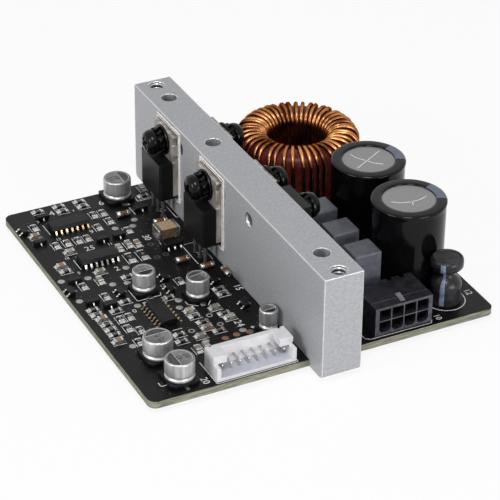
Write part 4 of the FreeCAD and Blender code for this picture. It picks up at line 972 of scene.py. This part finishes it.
def makePrint():
    look = {"line": 0.17, "side": 0.15, "sideGap": 0.24, "overhang": 0.42, "chokeRing": (4.2, 4.4, 0.02, 64),
            "pad": 0.78, "padHigh": 0.03, "squarePad": (-0.45, 0.45, -0.45, 0.45, -0.01, 0.12, 0.05),
            "rim": (0.42, 0.72, 0.03, 20), "via": (0.0, 0.17, 0.015, 8), "viaCount": 260, "viaX": (1.5, 35.0),
            "viaY": (1.5, 78.5), "headerJoint": 0.8, "pinInset": 0.3, "legInset": 0.25}
    ink = bmesh.new()
    paths = (
        # round the two headers
        ((14.9, 0.5), (33.3, 0.5), (33.3, 8.8)),
        ((14.9, 0.5), (14.9, 8.8)),
        ((49.5, 3.2), (49.5, 1.8), (50.5, 1.0), (65.0, 0.9), (65.7, 2.0), (65.7, 3.2)),
        # beside the packages and round the cans
        ((6.5, 68.2), (6.5, 72.4)),
        ((7.0, 52.0), (7.0, 56.0)),
        ((12.9, 39.7), (12.9, 35.2), (15.3, 35.2)),
        ((16.6, 35.2), (18.4, 35.2), (18.7, 36.2)),
        ((21.9, 30.5), (22.0, 29.3), (23.7, 28.0)),
        ((25.9, 27.4), (27.7, 29.7)),
        ((14.9, 21.8), (17.0, 21.8)),
        ((13.7, 34.2), (13.7, 32.6)),
        ((16.9, 34.2), (16.9, 32.9)),
        ((4.3, 5.9), (4.3, 4.6), (5.6, 4.6)),
        # round the legs of the left transistors
        ((30.9, 43.0), (30.9, 51.5), (34.6, 51.5), (34.6, 43.4)),
        ((30.3, 77.2), (30.0, 73.0), (34.4, 73.0), (34.4, 75.6)),
        ((34.9, 68.2), (34.9, 62.8), (35.3, 62.8)),
        ((27.1, 68.0), (27.1, 71.2)),
        ((27.0, 51.4), (27.0, 54.6)),
    )
    for path in paths:
        places = [onBoard(x, y) for x, y in path]
        for start, end in zip(places, places[1:]):
            strip(ink, start, end, look["line"])
    for node in ("chip_resistors", "chip_capacitors"):
        for low, high in looseParts(node):
            middle = footOf(low, high)
            reach = (high - low) / 2.0
            # a line along each long side
            along, over = (1, 0) if reach.y > reach.x else (0, 1)
            aside, run = Vector(), Vector()
            aside[over] = reach[over] + look["sideGap"] * mm
            run[along] = reach[along] + look["overhang"] * mm
            for side in (-1.0, 1.0):
                strip(ink, middle + side * aside - run, middle + side * aside + run, look["side"])
    stamp(ink, flatRing(*look["chokeRing"]), at(footOf(*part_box("choke_sleeve"))))
    # plain figures beside the parts, each with its place, its height and its turn
    words = (
        ("25", 12.2, 59.1, 1.8, 0.0), ("4", 10.3, 76.4, 2.0, 0.0), ("7", 15.2, 75.3, 0.9, 0.0),
        ("11", 16.9, 58.8, 0.9, 0.0), ("3", 6.1, 74.3, 1.0, 0.0), ("12", 7.4, 65.5, 0.9, 0.0),
        ("9", 15.3, 65.3, 1.5, 0.0), ("6", 22.1, 75.8, 1.9, 0.0), ("18", 6.0, 57.4, 0.9, 0.0),
        ("5", 6.1, 50.8, 1.0, 0.0), ("2", 14.2, 48.8, 1.7, 0.0), ("30", 25.3, 57.8, 1.7, -90.0),
        ("31", 33.3, 67.3, 1.6, -90.0), ("32", 33.2, 46.7, 1.7, -90.0), ("20", 13.1, 2.6, 1.7, -90.0),
        ("24", 28.5, 18.2, 1.8, -90.0), ("15", 34.5, 30.8, 1.7, -90.0), ("+", 30.5, 15.7, 1.5, 0.0),
        ("10", 67.2, 2.2, 1.5, -90.0), ("12", 78.0, 7.8, 1.6, -90.0),
        ("16", 27.3, 72.7, 0.8, 0.0), ("17", 20.2, 38.4, 1.0, 0.0), ("0", 10.8, 32.0, 1.4, 0.0),
    )
    for word, x, y, size, turn in words:
        stamp(ink, figures(word, size, turn), at(onBoard(x, y, 0.012)))
    piece("printedLines", ink, ["silkInk"])

    pads = bmesh.new()
    high = look["padHigh"]
    pad = turned([(0.0, -0.01), (look["pad"], -0.01), (look["pad"], high - 0.02), (look["pad"] - 0.05, high),
                  (0.0, high)], 22)
    scatter(pads, pad, ((20.6, 64.4), (24.6, 63.7), (26.0, 66.0), (16.1, 48.4), (7.0, 48.1), (1.3, 49.3),
                        (10.8, 43.5), (13.9, 42.7), (1.8, 40.5), (20.9, 31.7), (19.9, 29.1), (5.1, 20.2),
                        (19.5, 15.4), (28.2, 15.7), (12.2, 33.6)))
    scatter(pads, paint(pad, 1), ((23.6, 14.6), (26.3, 14.8), (29.2, 14.5)))
    # the front solder pads of two cans
    square = blockMm(*look["squarePad"])
    scatter(pads, square, ((15.9, 35.2), (24.8, 27.9)))
    rim = flatRing(*look["rim"])
    scatter(pads, rim, ((24.3, 23.7), (24.9, 19.7), (18.4, 20.0)))
    scatter(pads, paint(rim, 2), ((24.0, 49.3), (26.2, 49.6), (24.9, 54.8)))
    # fine plated holes
    via = paint(flatRing(*look["via"]), 2)
    scatter(pads, via, [(chance.uniform(*look["viaX"]), chance.uniform(*look["viaY"]))
                        for number in range(look["viaCount"])])
    piece("testPads", pads, ["padMetal", "copperPad", "viaMetalAndThreadShade"])
    joints = bmesh.new()
    cone = turned([(0.0, -1.05), (0.34, -1.0), (0.42, -0.7), (0.6, -0.32), (0.95, -0.06), (1.05, 0.02), (0.0, 0.02)],
                  14)
    leads = ["film_capacitor_leads", "choke_leads", "power_header_pins", "signal_header_pins", "toroid_winding"]
    leads += ["bulk_capacitor_" + str(number) + "_leads" for number in (1, 2)]
    leads += ["transistor_" + str(number) + "_leadframe" for number in range(1, 6)]
    for node in leads:
        for low, high in looseParts(node):
            if low.z < boardUnder - 0.5 * mm:
                middle = (low + high) / 2.0
                if "header" in node:
                    middle.y = high.y - look["pinInset"] * mm
                if "leadframe" in node and high.x - low.x > mm:
                    inset = look["legInset"] * mm
                    middle.x = high.x - inset if middle.x > 0.0 else low.x + inset
                middle.z = boardUnder
                size = look["headerJoint"] if "header" in node else 1.0
                stamp(joints, cone, at(middle) @ Matrix.Diagonal((size, size, 1.0, 1.0)), True)
    for shape in (pad, square, rim, via, cone):
        shape.free()
    piece("solderJoints", joints, ["solderMetal"])


# Floor, lamps, world and camera
def seenDirectly(tree):
    # 1 for rays from the camera, off a glossy face or through a clear one, and 0 for the others
    rays = addNode(tree, "LightPath", {})
    seen = addNode(tree, "Math", {0: rays.outputs["Is Camera Ray"], 1: rays.outputs["Is Glossy Ray"]},
                   operation="MAXIMUM")
    seen = addNode(tree, "Math", {0: seen.outputs["Value"], 1: rays.outputs["Is Transmission Ray"]},
                   operation="MAXIMUM")
    return seen.outputs["Value"]


def emptyTree(owner):
    owner.use_nodes = True
    owner.node_tree.nodes.clear()
    return owner.node_tree


def makeStage():
    # the lamps are one high over the camera, a low one before the front faces and a weak one from the left
    stage = {"floorSize": 3.0, "floorGlow": 0.9, "floorTone": 0.92, "worldLight": 0.2, "lens": 166.909,
             "lamps": (("keyLamp", (-0.16, -0.3, 0.6), 0.2, 2.2), ("frontLamp", (0.2, -0.66, 0.12), 0.3, 2.3),
                       ("sideLamp", (-0.6, -0.12, 0.26), 0.24, 1.8)),
             "eye": (-0.19239598, -0.38291277, 0.27310846), "aim": (58.04558874, -0.54579774, -26.59811992)}
    shape = bmesh.new()
    bmesh.ops.create_grid(shape, x_segments=1, y_segments=1, size=stage["floorSize"])
    floor = placed("floor", meshOf(shape, "floor"))
    paper = bpy.data.materials.new("paper")
    tree = emptyTree(paper)
    matte = addNode(tree, "BsdfDiffuse", {"Color": (stage["floorTone"],) * 3 + (1.0,)})
    glow = addNode(tree, "Emission", {})
    share = addNode(tree, "Math", {0: seenDirectly(tree), 1: stage["floorGlow"]}, operation="MULTIPLY")
    mix = addNode(tree, "MixShader", {"Fac": share.outputs["Value"], 1: matte.outputs["BSDF"],
                                      2: glow.outputs["Emission"]})
    addNode(tree, "OutputMaterial", {"Surface": mix.outputs["Shader"]})
    floor.data.materials.append(paper)

    world = bpy.data.worlds.new("studio")
    bpy.context.scene.world = world
    tree = emptyTree(world)
    level = addNode(tree, "MapRange", {"To Min": stage["worldLight"], "To Max": 1.0, "Value": seenDirectly(tree)})
    sky = addNode(tree, "Background", {"Color": (1.0, 1.0, 1.0, 1.0), "Strength": level.outputs["Result"]})
    addNode(tree, "OutputWorld", {"Surface": sky.outputs["Background"]})

    for name, place, size, power in stage["lamps"]:
        light = bpy.data.lights.new(name, "AREA")
        light.shape = "SQUARE"
        light.size = size
        light.energy = power
        lamp = placed(name, light)
        lamp.location = place
        lamp.rotation_euler = (-Vector(place)).to_track_quat("-Z", "Y").to_euler()

    camera = bpy.data.cameras.new("camera")
    camera.lens = stage["lens"]
    camera.sensor_width = 36.0
    camera.clip_start = 0.01
    eye = placed("camera", camera)
    eye.location = stage["eye"]
    eye.rotation_euler = [math.radians(angle) for angle in stage["aim"]]
    bpy.context.scene.camera = eye
    bpy.context.scene.view_settings.view_transform = "Standard"


stages = (makeBoard, makeBar, makeTransistors, makeFixings, makeToroid, makeBulkCapacitors, makeFilmCapacitors,
          makeChoke, makeHeaders, makeCans, makePackages, makeCeramic, makeSmallParts, makePrint, makeStage)
for make in stages:
    make()
    print(make.__name__, "done")
